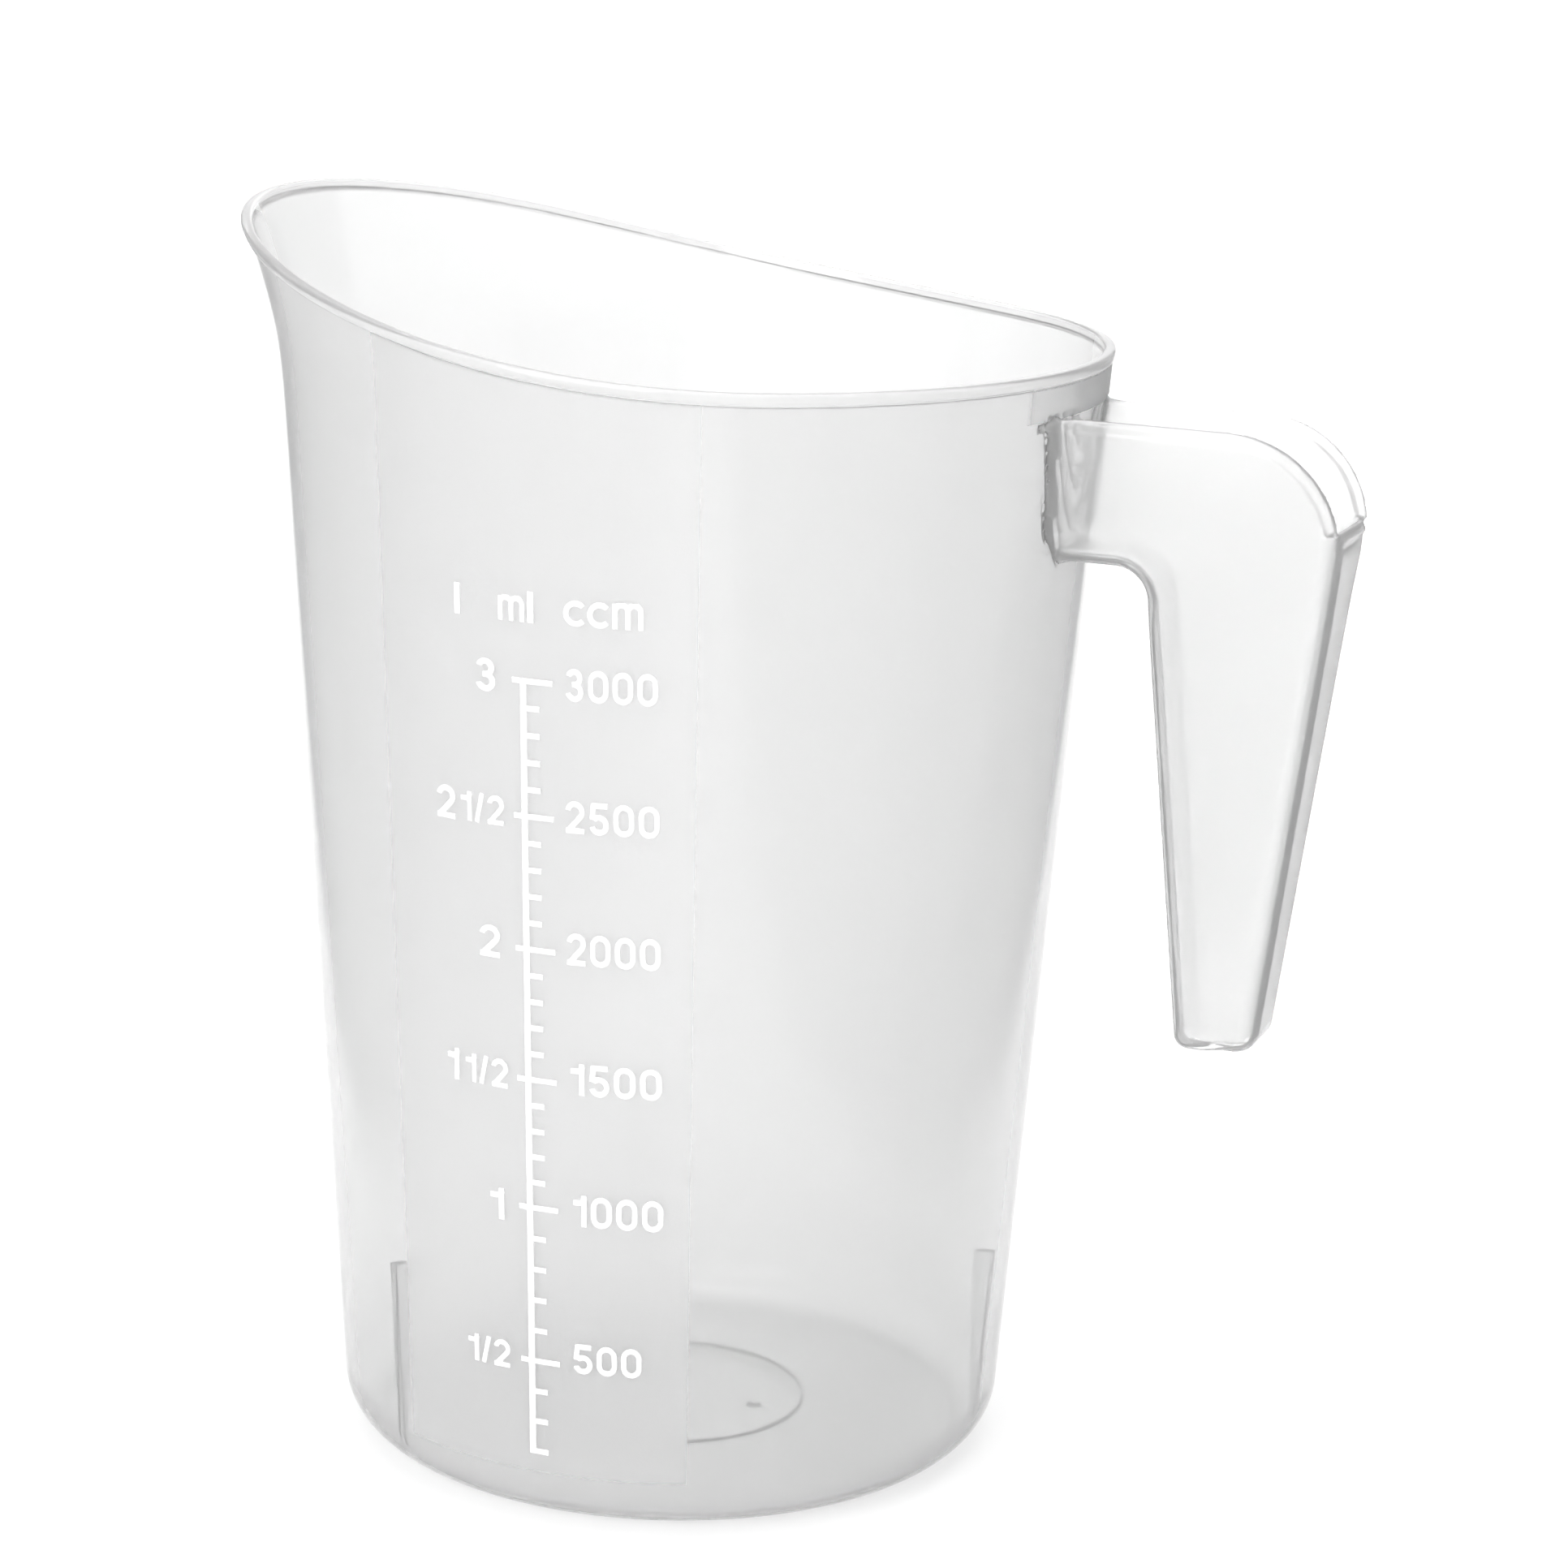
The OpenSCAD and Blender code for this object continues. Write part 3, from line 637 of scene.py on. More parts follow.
def handle_distance(m, x, y, z):
    """Distance to the handle's surface on a grid.

    Its side view and its front view, both rounded outlines, meet with rounded edges. The hollow,
    drawn in by the wall's thickness, is taken away, and a sweep fills the edge towards the jug.
    """
    t, by_wall, collar_depth = m.h_wall_t, 0.5, 0.6
    gx, gz = np.meshgrid(x, z, indexing="ij")
    side, room, strip = side_views(m, gx, gz)
    flared, away = flanks(m, x, y, z)
    edge = edge_radii(m, gx, gz)
    high = gz[:, None, :]
    body = meet(side, flared, edge)
    hollow = meet(meet(room, flared + t, np.maximum(edge - t, LEAST)), -away, by_wall)
    # a bead along both upper edges, and a collar across the grip's mouth
    along_top = meet(np.maximum(side, -strip), m.mouth_z - FINE - high, FINE)
    across_top = np.maximum(np.abs(high - m.mouth_z + m.h_bead_h / 2) - m.h_bead_h / 2,
                            (out_x(m, gz) - collar_depth - gx)[:, None, :])
    bead = meet(along_top, flared - m.h_bead_out, FINE)
    collar = meet(meet(side - m.h_bead_out, flared - m.h_bead_out, edge + m.h_bead_out), across_top, FINE)
    body = join(join(body, bead, SOFT), collar, SOFT)
    under = join(side, away, SMALL)
    rooted = np.minimum(body, meet(meet(under, flared, edge), side - SMALL, FINE))
    rooted = np.maximum(rooted, -(away + SUNK))
    return meet(rooted, -hollow, SUNK)


def iso_surface(value, x, y, z):
    """Where a value on a grid is nought, as a closed surface of quads.

    Each cell that the surface crosses gets one point, the mean of the crossings on its edges, and
    each grid edge that it crosses gets the quad that joins the four cells round it.
    """
    inside = value < 0
    shape = tuple(n - 1 for n in value.shape)
    total = np.zeros(shape + (3,), np.float32)
    count = np.zeros(shape, np.float32)
    axes = (x, y, z)
    steps = [float(a[1] - a[0]) for a in axes]

    def cut(array, corner):
        return array[tuple(slice(c, c + n) for c, n in zip(corner, shape))]

    for axis in range(3):
        for a in np.ndindex(*(1 if i == axis else 2 for i in range(3))):
            b = tuple(1 if i == axis else a[i] for i in range(3))
            va, vb = cut(value, a), cut(value, b)
            crossed = cut(inside, a) != cut(inside, b)
            t = np.where(crossed, va / np.where(crossed, va - vb, 1), 0)
            count += crossed
            for i in range(3):
                total[..., i] += crossed * (t if i == axis else a[i])
    used = count > 0
    index = np.full(shape, -1)
    index[used] = np.arange(used.sum())
    cell = np.argwhere(used)
    local = total[used] / count[used][:, None]
    points = np.stack([axes[i][0] + (cell[:, i] + local[:, i]) * steps[i] for i in range(3)], -1)
    quads = []
    for axis, u, v in ((0, 1, 2), (1, 2, 0), (2, 0, 1)):
        place = np.argwhere(np.diff(inside, axis=axis))
        keep = (place[:, u] > 0) & (place[:, v] > 0) & (place[:, u] < shape[u]) & (place[:, v] < shape[v])
        place = place[keep]
        entering = inside[tuple(place.T)]
        ring = []
        for du, dv in ((-1, -1), (0, -1), (0, 0), (-1, 0)):
            spot = place.copy()
            spot[:, u] += du
            spot[:, v] += dv
            ring.append(index[tuple(spot.T)])
        quad = np.stack(ring, -1)
        quad[~entering] = quad[~entering][:, ::-1]
        quads.append(quad)
    return points, np.concatenate(quads)


def handle(m, polished):
    """The whole handle, its surface found on a grid that reaches past it all round."""
    c, past, half_wide = m.h_cell, 2, 22
    x = np.arange(m.base_d / 2 + m.k * m.arm_under - 3, m.grip_out + past, c)
    y = np.arange(-half_wide - c / 2, half_wide + 0.5, c)
    z = np.arange(m.grip_low - past, m.arm_top + past, c)
    value = handle_distance(m, x, y, z).astype(np.float32)
    points, quads = iso_surface(value, x, y, z)
    return make_piece("handle", points, [quads], polished, smooth=0)


# Ribs, floor mark and scale

def stacking_ribs(m, polished):
    """Three ribs. Each is a stack of U-shaped sections, upright at its inner edge, whose back follows
    the inside of the wall and the corner and lies a little inside it. It runs from the height low,
    leaves the corner at the height knee, and is rounded by top_r above and by nose_r inside."""
    low, knee, top_r, nose_r = 7.4, 13, 1.2, 0.8
    round_z = m.s_rib_top - top_r
    z = np.concatenate([np.linspace(low, knee - 1, 8), np.linspace(knee + 1, round_z, 12),
                        round_z + top_r * np.sin(np.linspace(0.2, pi / 2, 6))])
    inner = m.corner_r - m.wall_t
    corner = m.corner_x + np.sqrt(np.maximum(inner ** 2 - np.minimum(z - m.corner_r, 0) ** 2, 0))
    wall = np.where(z < m.corner_r, corner, m.base_d / 2 + m.k * z - m.wall_t / cos(m.lean))
    nose = m.base_d / 2 + m.k * m.s_rib_top - m.wall_t / cos(m.lean) - m.s_rib_depth
    lift = np.clip((z - round_z) / top_r, 0, 1)
    nose_x = nose + top_r * (1 - np.sqrt(1 - lift ** 2))
    nose_x = np.minimum(nose_x, wall - 0.05)
    a = np.linspace(-pi / 2, pi / 2, 9)
    r = m.s_rib_t / 2
    dx = np.concatenate([[0], nose_r - nose_r * np.cos(a), [0]])
    dy = np.concatenate([[-r], r * np.sin(a), [r]])
    back = np.concatenate([[True], np.zeros(len(a), bool), [True]])
    section_x = np.where(back[None], (wall + SUNK)[:, None], nose_x[:, None] + dx[None])
    section_y = np.broadcast_to(dy, section_x.shape)
    height = np.broadcast_to(z[:, None], section_x.shape)
    parts, start = [], 0
    for turn in (0, 2 * pi / 3, 4 * pi / 3):
        grid = np.stack([section_x * cos(turn) - section_y * sin(turn),
                         section_x * sin(turn) + section_y * cos(turn), height], -1)
        parts.append(closed_stack(grid, [grid[0].mean(0), grid[-1].mean(0)], start))
        start += len(parts[-1][0])
    points, quads, fans = (np.concatenate(part) for part in zip(*parts))
    return make_piece("inner_ribs", points, [quads, fans], polished, smooth=35)


def floor_mark(m, polished):
    """Small round mark left on the floor at a place beside its middle: a flat dome, given by the
    radius and the height of its rings."""
    place, columns = 19.5, 32
    high = m.wall_t + m.floor_rise + m.floor_step
    r = np.array([1.75, 1.6, 1.3, 0.95, 0.5])
    lift = np.array([-0.25, 0.05, 0.3, 0.43, 0.49])
    a = np.linspace(0, 2 * pi, columns, endpoint=False)
    grid = np.stack([place + r[:, None] * np.cos(a), r[:, None] * np.sin(a),
                     np.broadcast_to((high + lift)[:, None], (len(r), columns))], -1)
    points, *faces = closed_stack(grid, [[place, 0, high + lift[0]], [place, 0, high + 0.5]])
    return make_piece("gate_mark", points, faces, polished, smooth=35)


def on_front(m, s, z, off):
    """Point on the graduated front: arc s to the right of the middle, height z, and off outwards."""
    r = m.base_d / 2 + m.k * z + m.field_t
    turn = -pi / 2 + s / r
    return np.stack([(r + off) * np.cos(turn), (r + off) * np.sin(turn), z], -1)


def bars(m, name, boxes, material):
    """Raised bars. Each is a grid over its box whose height is full inside and falls off in a quarter
    circle along its edges, with a flat back a little inside the wall.

    The heights across it, sunk with them, are shares of the relief. They are reached fine, edge and
    twice edge from its edges, in millimetres."""
    sunk, fine, edge = -0.15, 0.06, 0.22
    across = np.array([sunk, 0, 0.6, 0.9, 1, 1, 0.9, 0.6, 0, sunk])
    points, quads = [], []
    n = len(across)

    def places(a, b):
        return np.array([a, a, a + fine, a + edge, a + 2 * edge, b - 2 * edge, b - edge, b - fine, b, b])

    for s0, s1, z0, z1 in boxes:
        s, z = places(s0, s1), places(z0, z1)
        lift = np.minimum(across[:, None], across[None, :]) * m.s_raised
        ss, zz = np.meshgrid(s, z, indexing="ij")
        top = on_front(m, ss, zz, lift)
        back = on_front(m, ss, zz, np.full_like(lift, sunk * m.s_raised))
        start = sum(len(p) for p in points)
        points.append(top.reshape(-1, 3))
        points.append(back.reshape(-1, 3))
        index = np.arange(n * n).reshape(n, n) + start
        quads += [sheet_faces(index), sheet_faces(index + n * n)[:, [0, 3, 2, 1]]]
        rim_top = np.concatenate([index[:-1, 0], index[-1, :-1], index[:0:-1, -1], index[0, :0:-1]])
        rim_back = rim_top + n * n
        quads.append(np.stack([rim_top, rim_back, np.roll(rim_back, -1), np.roll(rim_top, -1)], -1))
    return make_piece(name, np.concatenate(points), [np.concatenate(quads)], material, smooth=50)


def mark_height(m, n):
    """Height of the mark for n tenths of a litre."""
    litre = m.s_low + 8 * m.s_step_low
    return m.s_low + (n - 2) * m.s_step_low if n <= 10 else litre + (n - 10) * m.s_step_high


# numerals: text, left and right ends along the wall, lower and upper heights
UNITS = (("l", -15.0, -13.7, 190.2, 196.4), ("m", -5.0, 0.4, 190.2, 195.0), ("l", 1.1, 2.4, 190.2, 196.4),
         ("ccm", 8.7, 24.0, 190.4, 195.4))
LITRES = (("3", -10.5, -5.7, 175.6, 182.2), ("2", -20.3, -15.6, 148.5, 155.2),
          ("1/2", -14.4, -4.4, 148.8, 154.8), ("2", -10.5, -5.7, 121.5, 128.1),
          ("1", -18.9, -15.9, 94.1, 100.8), ("1/2", -14.4, -4.4, 94.4, 100.4),
          ("1", -9.0, -5.7, 66.2, 72.9), ("1/2", -15.0, -4.8, 34.0, 39.9))
MILLILITRES = (("3000", 8.6, 26.8, 175.5, 182.0), ("2500", 8.4, 27.0, 149.1, 155.6),
               ("2000", 8.4, 27.1, 122.1, 128.7), ("1500", 8.9, 27.2, 95.1, 101.7),
               ("1000", 9.1, 27.4, 67.2, 73.9), ("500", 8.9, 22.9, 35.3, 41.7))
# each sign drawn in a box 1 high: its width, then its strokes. A stroke is a straight one from
# (x, y) to (x, y), or an arc: middle, radius, and the two angles in degrees between which it runs
SIGNS = {
    "0": (0.68, (("arc", 0.34, 0.66, 0.25, 0, 180), ("arc", 0.34, 0.34, 0.25, 180, 360),
                 ("bar", 0.09, 0.34, 0.09, 0.66), ("bar", 0.59, 0.34, 0.59, 0.66))),
    "1": (0.46, (("bar", 0.37, 0, 0.37, 1), ("bar", 0.02, 0.76, 0.24, 0.76),
                 ("arc", 0.20, 0.96, 0.20, 270, 350))),
    "2": (0.66, (("arc", 0.33, 0.68, 0.235, -38, 172), ("bar", 0.53, 0.55, 0.12, 0.10),
                 ("bar", 0.02, 0.085, 0.64, 0.085))),
    "3": (0.66, (("arc", 0.32, 0.72, 0.195, -92, 165), ("arc", 0.33, 0.30, 0.215, -168, 92),
                 ("bar", 0.24, 0.52, 0.34, 0.52))),
    "5": (0.66, (("bar", 0.12, 0.915, 0.61, 0.915), ("bar", 0.155, 0.98, 0.10, 0.47),
                 ("arc", 0.33, 0.32, 0.235, -165, 142))),
    "/": (0.34, (("bar", 0.06, 0, 0.28, 1),)),
    "l": (0.17, (("bar", 0.085, 0, 0.085, 1),)),
    "m": (1.22, (("bar", 0.09, 0, 0.09, 1), ("bar", 0.61, 0, 0.61, 0.72), ("bar", 1.13, 0, 1.13, 0.72),
                 ("arc", 0.35, 0.70, 0.26, 0, 165), ("arc", 0.87, 0.70, 0.26, 0, 165))),
    "c": (0.86, (("arc", 0.46, 0.5, 0.40, 42, 318),)),
}


def stroke_distance(x, y, kind, half, *v):
    """Distance to a stroke of the given half width. A straight one is an oblong about its line, an
    arc is a ring that two flat ends cut off."""
    if kind == "bar":
        x0, y0, x1, y1 = v
        long = sqrt((x1 - x0) ** 2 + (y1 - y0) ** 2)
        dx, dy = (x1 - x0) / long, (y1 - y0) / long
        along = (x - (x0 + x1) / 2) * dx + (y - (y0 + y1) / 2) * dy
        across = -(x - x0) * dy + (y - y0) * dx
        return np.maximum(np.abs(along) - long / 2, np.abs(across) - half)
    cx, cy, r, a0, a1 = v
    turn = (np.arctan2(y - cy, x - cx) - radians((a0 + a1) / 2) + pi) % (2 * pi) - pi
    ring = np.abs(np.hypot(x - cx, y - cy) - r) - half
    return np.maximum(ring, (np.abs(turn) - radians(a1 - a0) / 2) * r)


def word_distance(s, z, text, s0, s1, z0, z1):
    """Distance to a word set between its ends: each sign stands in its share of the width. Signs less
    than 5.5 mm high have a stroke that is wider for their height."""
    high = z1 - z0
    gap = 0.13
    wide = sum(SIGNS[sign][0] for sign in text) + gap * (len(text) - 1)
    stretch = (s1 - s0) / wide
    at, near = 0.0, np.full(s.shape, 99.0)
    half = 0.088 if high > 5.5 else 0.115
    for sign in text:
        width, strokes = SIGNS[sign]
        for kind, *v in strokes:
            d = stroke_distance((s - s0) / stretch - at, (z - z0) / high, kind, half, *v)
            near = np.minimum(near, d * min(high, stretch))
        at += width + gap
    return near


def lettering(m, name, words, material):
    """Raised numerals. Their strokes' distance, met with a flat front and a flat back that lies sunk
    in the wall, is sampled on a fine grid that is bent round the wall. All in millimetres."""
    margin, step, low, step_off, sunk, edge_r = 0.4, 0.15, -0.15, 0.08, 0.06, 0.12
    points, quads = [], []
    start = 0
    for text, s0, s1, z0, z1 in words:
        s = np.arange(s0 - margin, s1 + margin, step)
        z = np.arange(z0 - margin, z1 + margin, step)
        off = np.arange(low, m.s_raised + 2 * step_off, step_off)
        ss, zz = np.meshgrid(s, z, indexing="ij")
        flat = word_distance(ss, zz, text, s0, s1, z0, z1)[:, :, None]
        thick = (np.abs(off - (m.s_raised - sunk) / 2) - (m.s_raised + sunk) / 2)[None, None, :]
        at, faces = iso_surface(meet(flat, thick, edge_r), s, z, off)
        points.append(on_front(m, at[:, 0], at[:, 1], at[:, 2]))
        quads.append(faces + start)
        start += len(at)
    return make_piece(name, np.concatenate(points), [np.concatenate(quads)], material, smooth=0)


# Finishes

def add_node(tree, kind, links=(), values=(), **settings):
    """Adds a node with its settings, its sockets' values and its incoming links."""
    made = tree.nodes.new(kind)
    for key, value in settings.items():
        setattr(made, key, value)
    for key, value in dict(values).items():
        made.inputs[key].default_value = value
    for key, source in dict(links).items():
        tree.links.new(source, made.inputs[key])
    return made


def start_material(name):
    """A material with an empty node tree, and the place that its textures read."""
    material = bpy.data.materials.new(name)
    material.use_nodes = True
    tree = material.node_tree
    tree.nodes.clear()
    return material, tree, add_node(tree, "ShaderNodeTexCoord").outputs["Object"]


def noise(tree, place, scale, detail, roughness=0.5):
    """A noise texture whose spots are about 1 / scale of a metre apart."""
    return add_node(tree, "ShaderNodeTexNoise", {"Vector": place},
                    {"Scale": scale, "Detail": detail, "Roughness": roughness}).outputs["Fac"]


def shade(tree, links, values):
    """The material's shader, linked to its output."""
    shader = add_node(tree, "ShaderNodeBsdfPrincipled", links, values)
    add_node(tree, "ShaderNodeOutputMaterial", {"Surface": shader.outputs["BSDF"]})


def polypropylene(name, finish, resin, low, field, clear):
    """Natural polypropylene, injection moulded: part of the light scatters 4 mm deep in the wall and the
    rest passes. The thicker a form is, the more it scatters, so it looks milkier. Towards the floor, from
    90 down to 20 mm above it, the colour turns to the low one: painted shade, the wall made darker towards
    the floor.

    The mould's polished faces leave slow ripples. Where the mould is spark-eroded, which the
    attribute says, the skin is a fine pitted matt, drawn 0.5 mm apart so that it shows.
    """
    material, tree, place = start_material(name)
    matt = add_node(tree, "ShaderNodeAttribute", attribute_name="frosted").outputs["Fac"]
    pits = noise(tree, place, 2000, 3, 0.6)
    slow = noise(tree, place, 28, 1.5, 0.4)
    gloss = add_node(tree, "ShaderNodeMapRange", {"Value": slow},
                     {"To Min": finish.gloss - 0.03, "To Max": finish.gloss + 0.03})
    rough = add_node(tree, "ShaderNodeMath", {0: matt, 2: gloss.outputs["Result"]},
                     {1: finish.matt - finish.gloss}, operation="MULTIPLY_ADD")
    ripple = add_node(tree, "ShaderNodeBump", {"Height": slow},
                      {"Strength": 1.0, "Distance": 0.00002})
    up = add_node(tree, "ShaderNodeSeparateXYZ", {"Vector": place}).outputs["Z"]
    # painted shade: from 90 mm down to 20 mm above the floor the colour darkens to the low one
    painted_shade_fade = add_node(tree, "ShaderNodeMapRange", {"Value": up}, {"From Min": 0.02, "From Max": 0.09},
                    interpolation_type="SMOOTHSTEP")
    tone = add_node(tree, "ShaderNodeMix", {"Factor": painted_shade_fade.outputs["Result"]},
                    {"A": (*low, 1.0), "B": (*resin, 1.0)}, data_type="RGBA")
    # the field colour where the attribute says: on the frosted fields the resin under their matt skin, on
    # the inside of the corner painted light
    tint = add_node(tree, "ShaderNodeMix", {"Factor": matt, "A": tone.outputs["Result"]},
                    {"B": (*field, 1.0)}, data_type="RGBA")
    depth = add_node(tree, "ShaderNodeMath", {0: matt}, {1: 0.5}, operation="MULTIPLY")
    bump = add_node(tree, "ShaderNodeBump",
                    {"Height": pits, "Strength": depth.outputs["Value"],
                     "Normal": ripple.outputs["Normal"]}, {"Distance": 0.00005})
    shade(tree, {"Roughness": rough.outputs["Value"], "Normal": bump.outputs["Normal"],
                 "Base Color": tint.outputs["Result"]},
          {"IOR": 1.49, "Transmission Weight": clear, "Subsurface Weight": 1.0,
           "Subsurface Radius": (1.0, 1.0, 1.0), "Subsurface Scale": 0.004})


def raised_marks():
    """The scale's faces, polished in the mould, opaque and near white: painted light, standing for the
    light that they throw back more than the matt field about them, so that they read as white."""
    material, tree, place = start_material("polypropylene_raised_marks")
    gloss = add_node(tree, "ShaderNodeMapRange", {"Value": noise(tree, place, 150, 2)},
                     {"To Min": 0.25, "To Max": 0.4})
    shade(tree, {"Roughness": gloss.outputs["Result"]},
          # painted light: an opaque white, with no transmission, for the light that the raised faces throw
          # back
          {"Base Color": linear("#FEFEFE"), "IOR": 1.49, "Subsurface Weight": 0.3,
           "Subsurface Radius": (1.0, 1.0, 1.0), "Subsurface Scale": 0.0003})


def pale_floor(finish):
    """Opal acrylic, sanded matt, with a fine grain, 2 mm apart. It glows as far as the attribute says: a
    painted glow, emission in a pool round the jug and on a sheet behind it, which lifts the jug's shadow on
    the floor."""
    material, tree, place = start_material("opal_acrylic_sanded")
    bump = add_node(tree, "ShaderNodeBump", {"Height": noise(tree, place, 500, 2)},
                    {"Strength": 0.2, "Distance": 0.0001})
    # painted glow: the floor's emission where the attribute says
    lit = add_node(tree, "ShaderNodeAttribute", attribute_name="glow").outputs["Fac"]
    glow = add_node(tree, "ShaderNodeMath", {0: lit}, {1: finish.glow}, operation="MULTIPLY")
    shade(tree, {"Normal": bump.outputs["Normal"], "Emission Strength": glow.outputs["Value"]},
          {"Base Color": (*finish.floor, 1.0), "Roughness": 0.85, "Emission Color": (1.0, 1.0, 1.0, 1.0)})
    return material


def finishes():
    """All the jug's finishes, made once."""
    f = bpy.context.scene.jug_finish
    made = bpy.data.materials
    if "polypropylene_moulded" not in made:
        polypropylene("polypropylene_moulded", f, f.resin, f.low, f.field, f.clear)
        # the handle takes the lighter pale colour: painted light
        polypropylene("polypropylene_handle", f, f.pale, f.pale, f.pale, f.milky)
        # the rim's bead takes the darker low colour: painted shade for the grey band it shows; its lower
        # clearness stands for its thicker, milkier resin
        polypropylene("polypropylene_rim", f, f.low, f.low, f.low, f.rim_clear)
        raised_marks()
    return SimpleNamespace(body=made["polypropylene_moulded"], handle=made["polypropylene_handle"],
                           rim=made["polypropylene_rim"], marks=made["polypropylene_raised_marks"])


# Studio

# the camera as it was fitted to the photo: its right and up, its place in metres, and its focal
# length in pixels of a picture 1932 pixels wide
CAMERA_RIGHT = (0.92752266, 0.37258155, 0.02974404)
CAMERA_UP = (-0.11714561, 0.21421164, 0.96973722)
CAMERA_PLACE = (0.341057, -0.811159, 0.360631)
FOCAL_PIXELS = 5307.14
PICTURE_WIDE = 1932
SENSOR_MM = 36
# each light's name, place and aim in metres, width and height in metres, and power in watts
LIGHTS = (("overhead_softbox", (0.0, 0.25, 1.7), (0, 0.1, 0), 1.6, 1.6, 16),
          ("back_softbox", (-0.35, 0.9, 1.5), (-0.55, 1.6, 0.4), 2.4, 0.8, 12),
          ("front_softbox", (-0.2, -1.6, 0.9), (0, 0, 0.12), 1.2, 1.2, 18))
ROOM_LIGHT = 0.83
# the floor in metres: how far it runs, where it bends up and by what radius, and how far it lies
# below the jug. It is turned so that its back stands square to the camera
FLOOR_HALF = 4.0
BEND_AT = 1.2
BEND_RADIUS = 0.8
FLOOR_DROP = 0.00005
FLOOR_RIGHT = (0.9284, 0.3729)
FLOOR_AWAY = (-0.3729, 0.9284)
# the floor's painted glow in metres: radius of the pool round the jug, half width of the sheet at the jug's
# place, how fast it widens backwards, its least half width, its middle, and how soft both edges are
POOL_RADIUS = 0.26
SHEET_HALF = 0.251
SHEET_GROWS = 0.19
SHEET_LEAST = 0.175
SHEET_MIDDLE = 0.014
GLOW_SOFT = 0.07


def stand(thing, axes, place):
    """Stands an object at a place, with its own X, Y and Z along three directions."""
    thing.matrix_world = Matrix([[*r, p] for r, p in zip(np.stack(axes, 1), place)] + [[0, 0, 0, 1]])


def area(name, place, aim, wide, high, power):
    """A soft rectangular light at a place, turned to a point."""
    data = bpy.data.lights.new(name, "AREA")
    data.shape, data.size, data.size_y, data.energy = "RECTANGLE", wide, high, power
    back = np.array(place, float) - np.array(aim, float)
    back /= np.linalg.norm(back)
    side = np.cross([0, 1, 0] if abs(back[2]) > 0.99 else [0, 0, 1], back)
    side /= np.linalg.norm(side)
    stand(add_object(name, data), (side, np.cross(back, side), back), place)


class JUG_OT_camera(bpy.types.Operator):
    """Adds the camera at the photograph's viewing angle"""
    bl_idname = "jug.camera"
    bl_label = "Add the camera"

    def execute(self, context):
        data = bpy.data.cameras.new("camera")
        data.sensor_width = SENSOR_MM
        data.lens = FOCAL_PIXELS / PICTURE_WIDE * SENSOR_MM
        data.clip_start, data.clip_end = 0.05, 50
        camera = add_object("camera", data)
        stand(camera, (CAMERA_RIGHT, CAMERA_UP, np.cross(CAMERA_RIGHT, CAMERA_UP)), CAMERA_PLACE)
        context.scene.camera = camera
        return {"FINISHED"}


class JUG_OT_stage(bpy.types.Operator):
    """Adds the pale floor with its curved back, the soft lights and the room's even light"""
    bl_idname = "jug.stage"
    bl_label = "Add the stage"

    def execute(self, context):
        # a floor that bends up into a wall: straight, with close rows near the jug, then a quarter
        # circle, then straight
        a = np.linspace(0, pi / 2, 24)
        flat = np.concatenate([[-FLOOR_HALF, -1.0], np.linspace(-0.5, 1.1, 65)])
        along = np.concatenate([flat, BEND_AT + BEND_RADIUS * np.sin(a), [BEND_AT + BEND_RADIUS]])
        high = np.concatenate([0 * flat, BEND_RADIUS - BEND_RADIUS * np.cos(a), [FLOOR_HALF]]) - FLOOR_DROP
        wide = np.concatenate([[-FLOOR_HALF, -2.0], np.linspace(-1, 1, 101), [2.0, FLOOR_HALF]])
        w, s = np.meshgrid(wide, along, indexing="ij")
        grid = np.stack([w * FLOOR_RIGHT[0] + s * FLOOR_AWAY[0], w * FLOOR_RIGHT[1] + s * FLOOR_AWAY[1],
                         np.broadcast_to(high, w.shape)], -1)
        quads = sheet_faces(np.arange(w.size).reshape(w.shape))
        mesh = bpy.data.meshes.new("floor")
        mesh.from_pydata(grid.reshape(-1, 3).tolist(), [], quads.tolist())
        mesh.polygons.foreach_set("use_smooth", np.ones(len(quads), bool))
        mesh.materials.append(pale_floor(context.scene.jug_finish))
        # painted glow: emission round the jug, which lifts its shadow, and on a sheet that runs back and
        # widens
        sheet = np.maximum(SHEET_HALF + SHEET_GROWS * s, SHEET_LEAST) - np.abs(w - SHEET_MIDDLE)
        pool = POOL_RADIUS - np.hypot(w, s)
        give_values(mesh, "glow", ease(np.maximum(sheet, pool) / GLOW_SOFT))
        floor = add_object("floor", mesh)
        for light in LIGHTS:
            area(*light)
        world = bpy.data.worlds.new("room")
        world.use_nodes = True
        background = world.node_tree.nodes["Background"]
        background.inputs["Color"].default_value = (1, 1, 1, 1)
        background.inputs["Strength"].default_value = ROOM_LIGHT
        context.scene.world = world
        context.scene.view_settings.view_transform = "Standard"
        return {"FINISHED"}


class JUG_OT_shell(bpy.types.Operator):
    """Adds the shell with its foot, bead, lip and frosted fields, in place of their solids"""
    bl_idname = "jug.shell"
    bl_label = "Add the shell"

    def execute(self, context):
        m, f = sizes(), finishes()
        settle(jug_shell(m, f.body, f.rim), "moulded_body", "jug_wall", "base_corner",
               "foot_ring", "floor_slope", "floor_middle", "rim_bead", "front_field", "rear_field",
               "handle_root_field")
        return {"FINISHED"}


class JUG_OT_inside(bpy.types.Operator):
    """Adds the stacking ribs and the small mark on the floor"""
    bl_idname = "jug.inside"
    bl_label = "Add the ribs and the floor mark"

    def execute(self, context):
        m, f = sizes(), finishes()
        settle(stacking_ribs(m, f.body), "moulded_body", "stacking_ribs")
        settle(floor_mark(m, f.body), "moulded_body", "floor_mark")
        return {"FINISHED"}


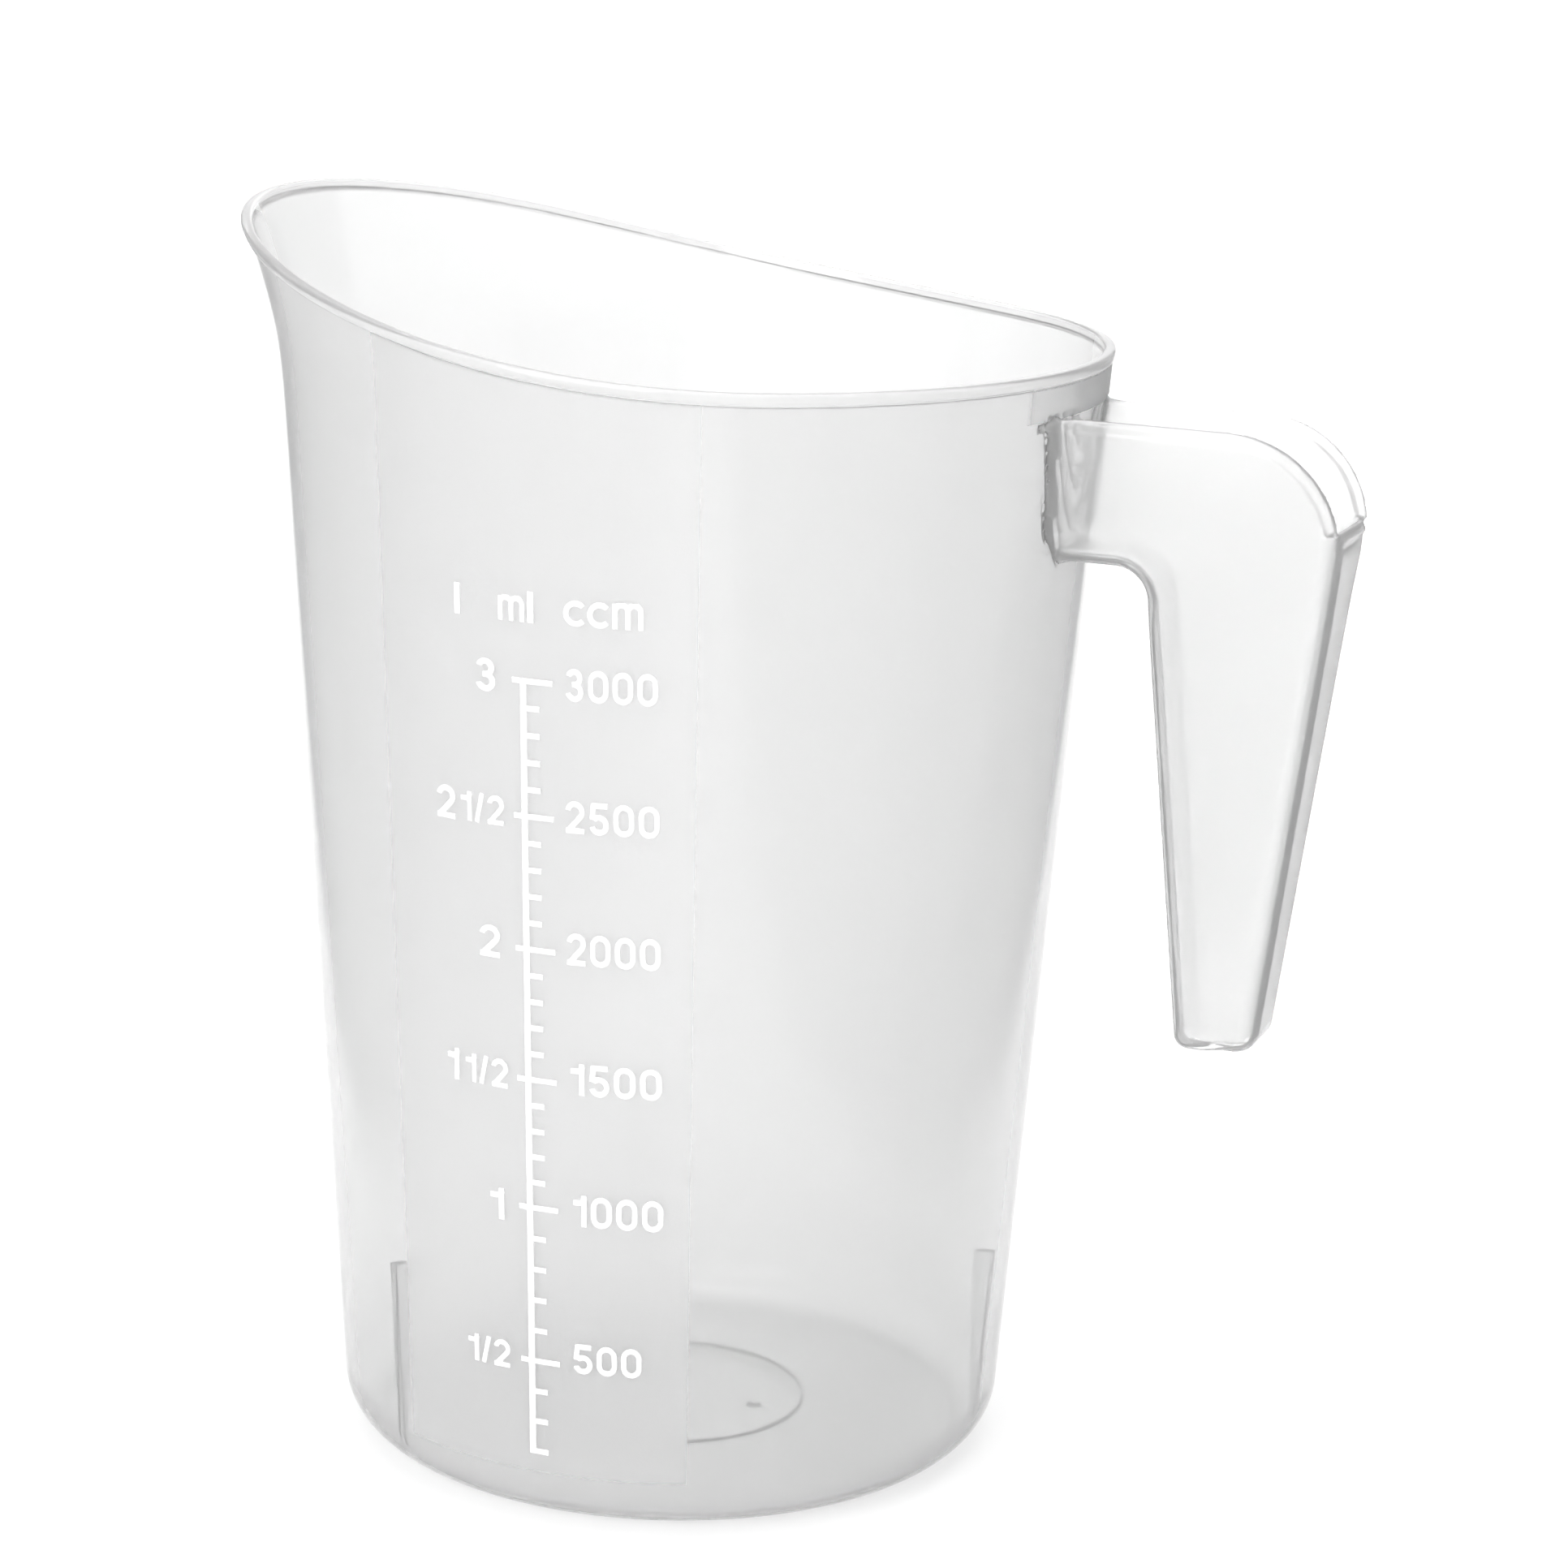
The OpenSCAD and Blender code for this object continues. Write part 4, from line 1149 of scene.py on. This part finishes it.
class JUG_OT_handle(bpy.types.Operator):
    """Adds the open handle in place of its solids"""
    bl_idname = "jug.handle"
    bl_label = "Add the handle"

    def execute(self, context):
        m, f = sizes(), finishes()
        settle(handle(m, f.handle), "moulded_body", "handle_arm", "handle_bend", "handle_grip",
               "handle_end", "handle_edge", "handle_root_sweeps")
        return {"FINISHED"}


class JUG_OT_scale(bpy.types.Operator):
    """Adds the raised line, marks and numerals on the front field"""
    bl_idname = "jug.scale"
    bl_label = "Add the scale"

    def execute(self, context):
        m, f = sizes(), finishes()
        h = m.s_bar_h / 2
        z = [mark_height(m, n) for n in range(31)]
        line = [(-m.s_line_w / 2, m.s_line_w / 2, z[2] - h, z[30] + h)]
        long_marks = [(a, b, z[n] - h, z[n] + h) for n in range(5, 31, 5)
                      for a, b in ((-m.s_left, 0), (0, m.s_right))]
        short_marks = [(0, m.s_short, z[n] - h, z[n] + h) for n in range(2, 31) if n % 5]
        for name, boxes, node in (("upright_line", line, "scale_line"),
                                  ("half_litre_marks", long_marks, "scale_500_marks"),
                                  ("tenth_litre_marks", short_marks, "scale_100_marks")):
            settle(bars(m, name, boxes, f.marks), "raised_scale", node)
        for name, words in (("unit_letters", UNITS), ("litre_numerals", LITRES),
                            ("millilitre_numerals", MILLILITRES)):
            settle(lettering(m, name, words, f.marks), "raised_scale")
        return {"FINISHED"}


OPERATORS = (JUG_OT_camera, JUG_OT_stage, JUG_OT_shell, JUG_OT_inside, JUG_OT_handle, JUG_OT_scale)
GROUPS = (("jug_shell", JugShellSizes), ("jug_handle", JugHandleSizes),
          ("jug_scale", JugScaleSizes), ("jug_finish", JugFinish))


class JUG_PT_panel(bpy.types.Panel):
    """Lists the jug's sizes and the steps that build it"""
    bl_idname = "JUG_PT_panel"
    bl_label = "Measuring jug"
    bl_space_type = "VIEW_3D"
    bl_region_type = "UI"
    bl_category = "Jug"

    def draw(self, context):
        for key, group in GROUPS:
            box = self.layout.box()
            for size in group.__annotations__:
                box.prop(getattr(context.scene, key), size)
        for operator in OPERATORS:
            self.layout.operator(operator.bl_idname)


def register():
    for _, group in GROUPS:
        bpy.utils.register_class(group)
    for made in OPERATORS + (JUG_PT_panel,):
        bpy.utils.register_class(made)
    for key, group in GROUPS:
        setattr(bpy.types.Scene, key, bpy.props.PointerProperty(type=group))


def unregister():
    for key, _ in GROUPS:
        delattr(bpy.types.Scene, key)
    for made in reversed(OPERATORS + (JUG_PT_panel,)):
        bpy.utils.unregister_class(made)
    for _, group in reversed(GROUPS):
        bpy.utils.unregister_class(group)


def main():
    register()
    for old in list(bpy.data.objects):
        if old.name in ("Cube", "Light", "Camera"):
            bpy.data.objects.remove(old)
    bpy.ops.jug.camera()
    bpy.ops.jug.stage()
    bpy.ops.jug.shell()
    bpy.ops.jug.inside()
    bpy.ops.jug.handle()
    bpy.ops.jug.scale()


if __name__ == "__main__":
    main()
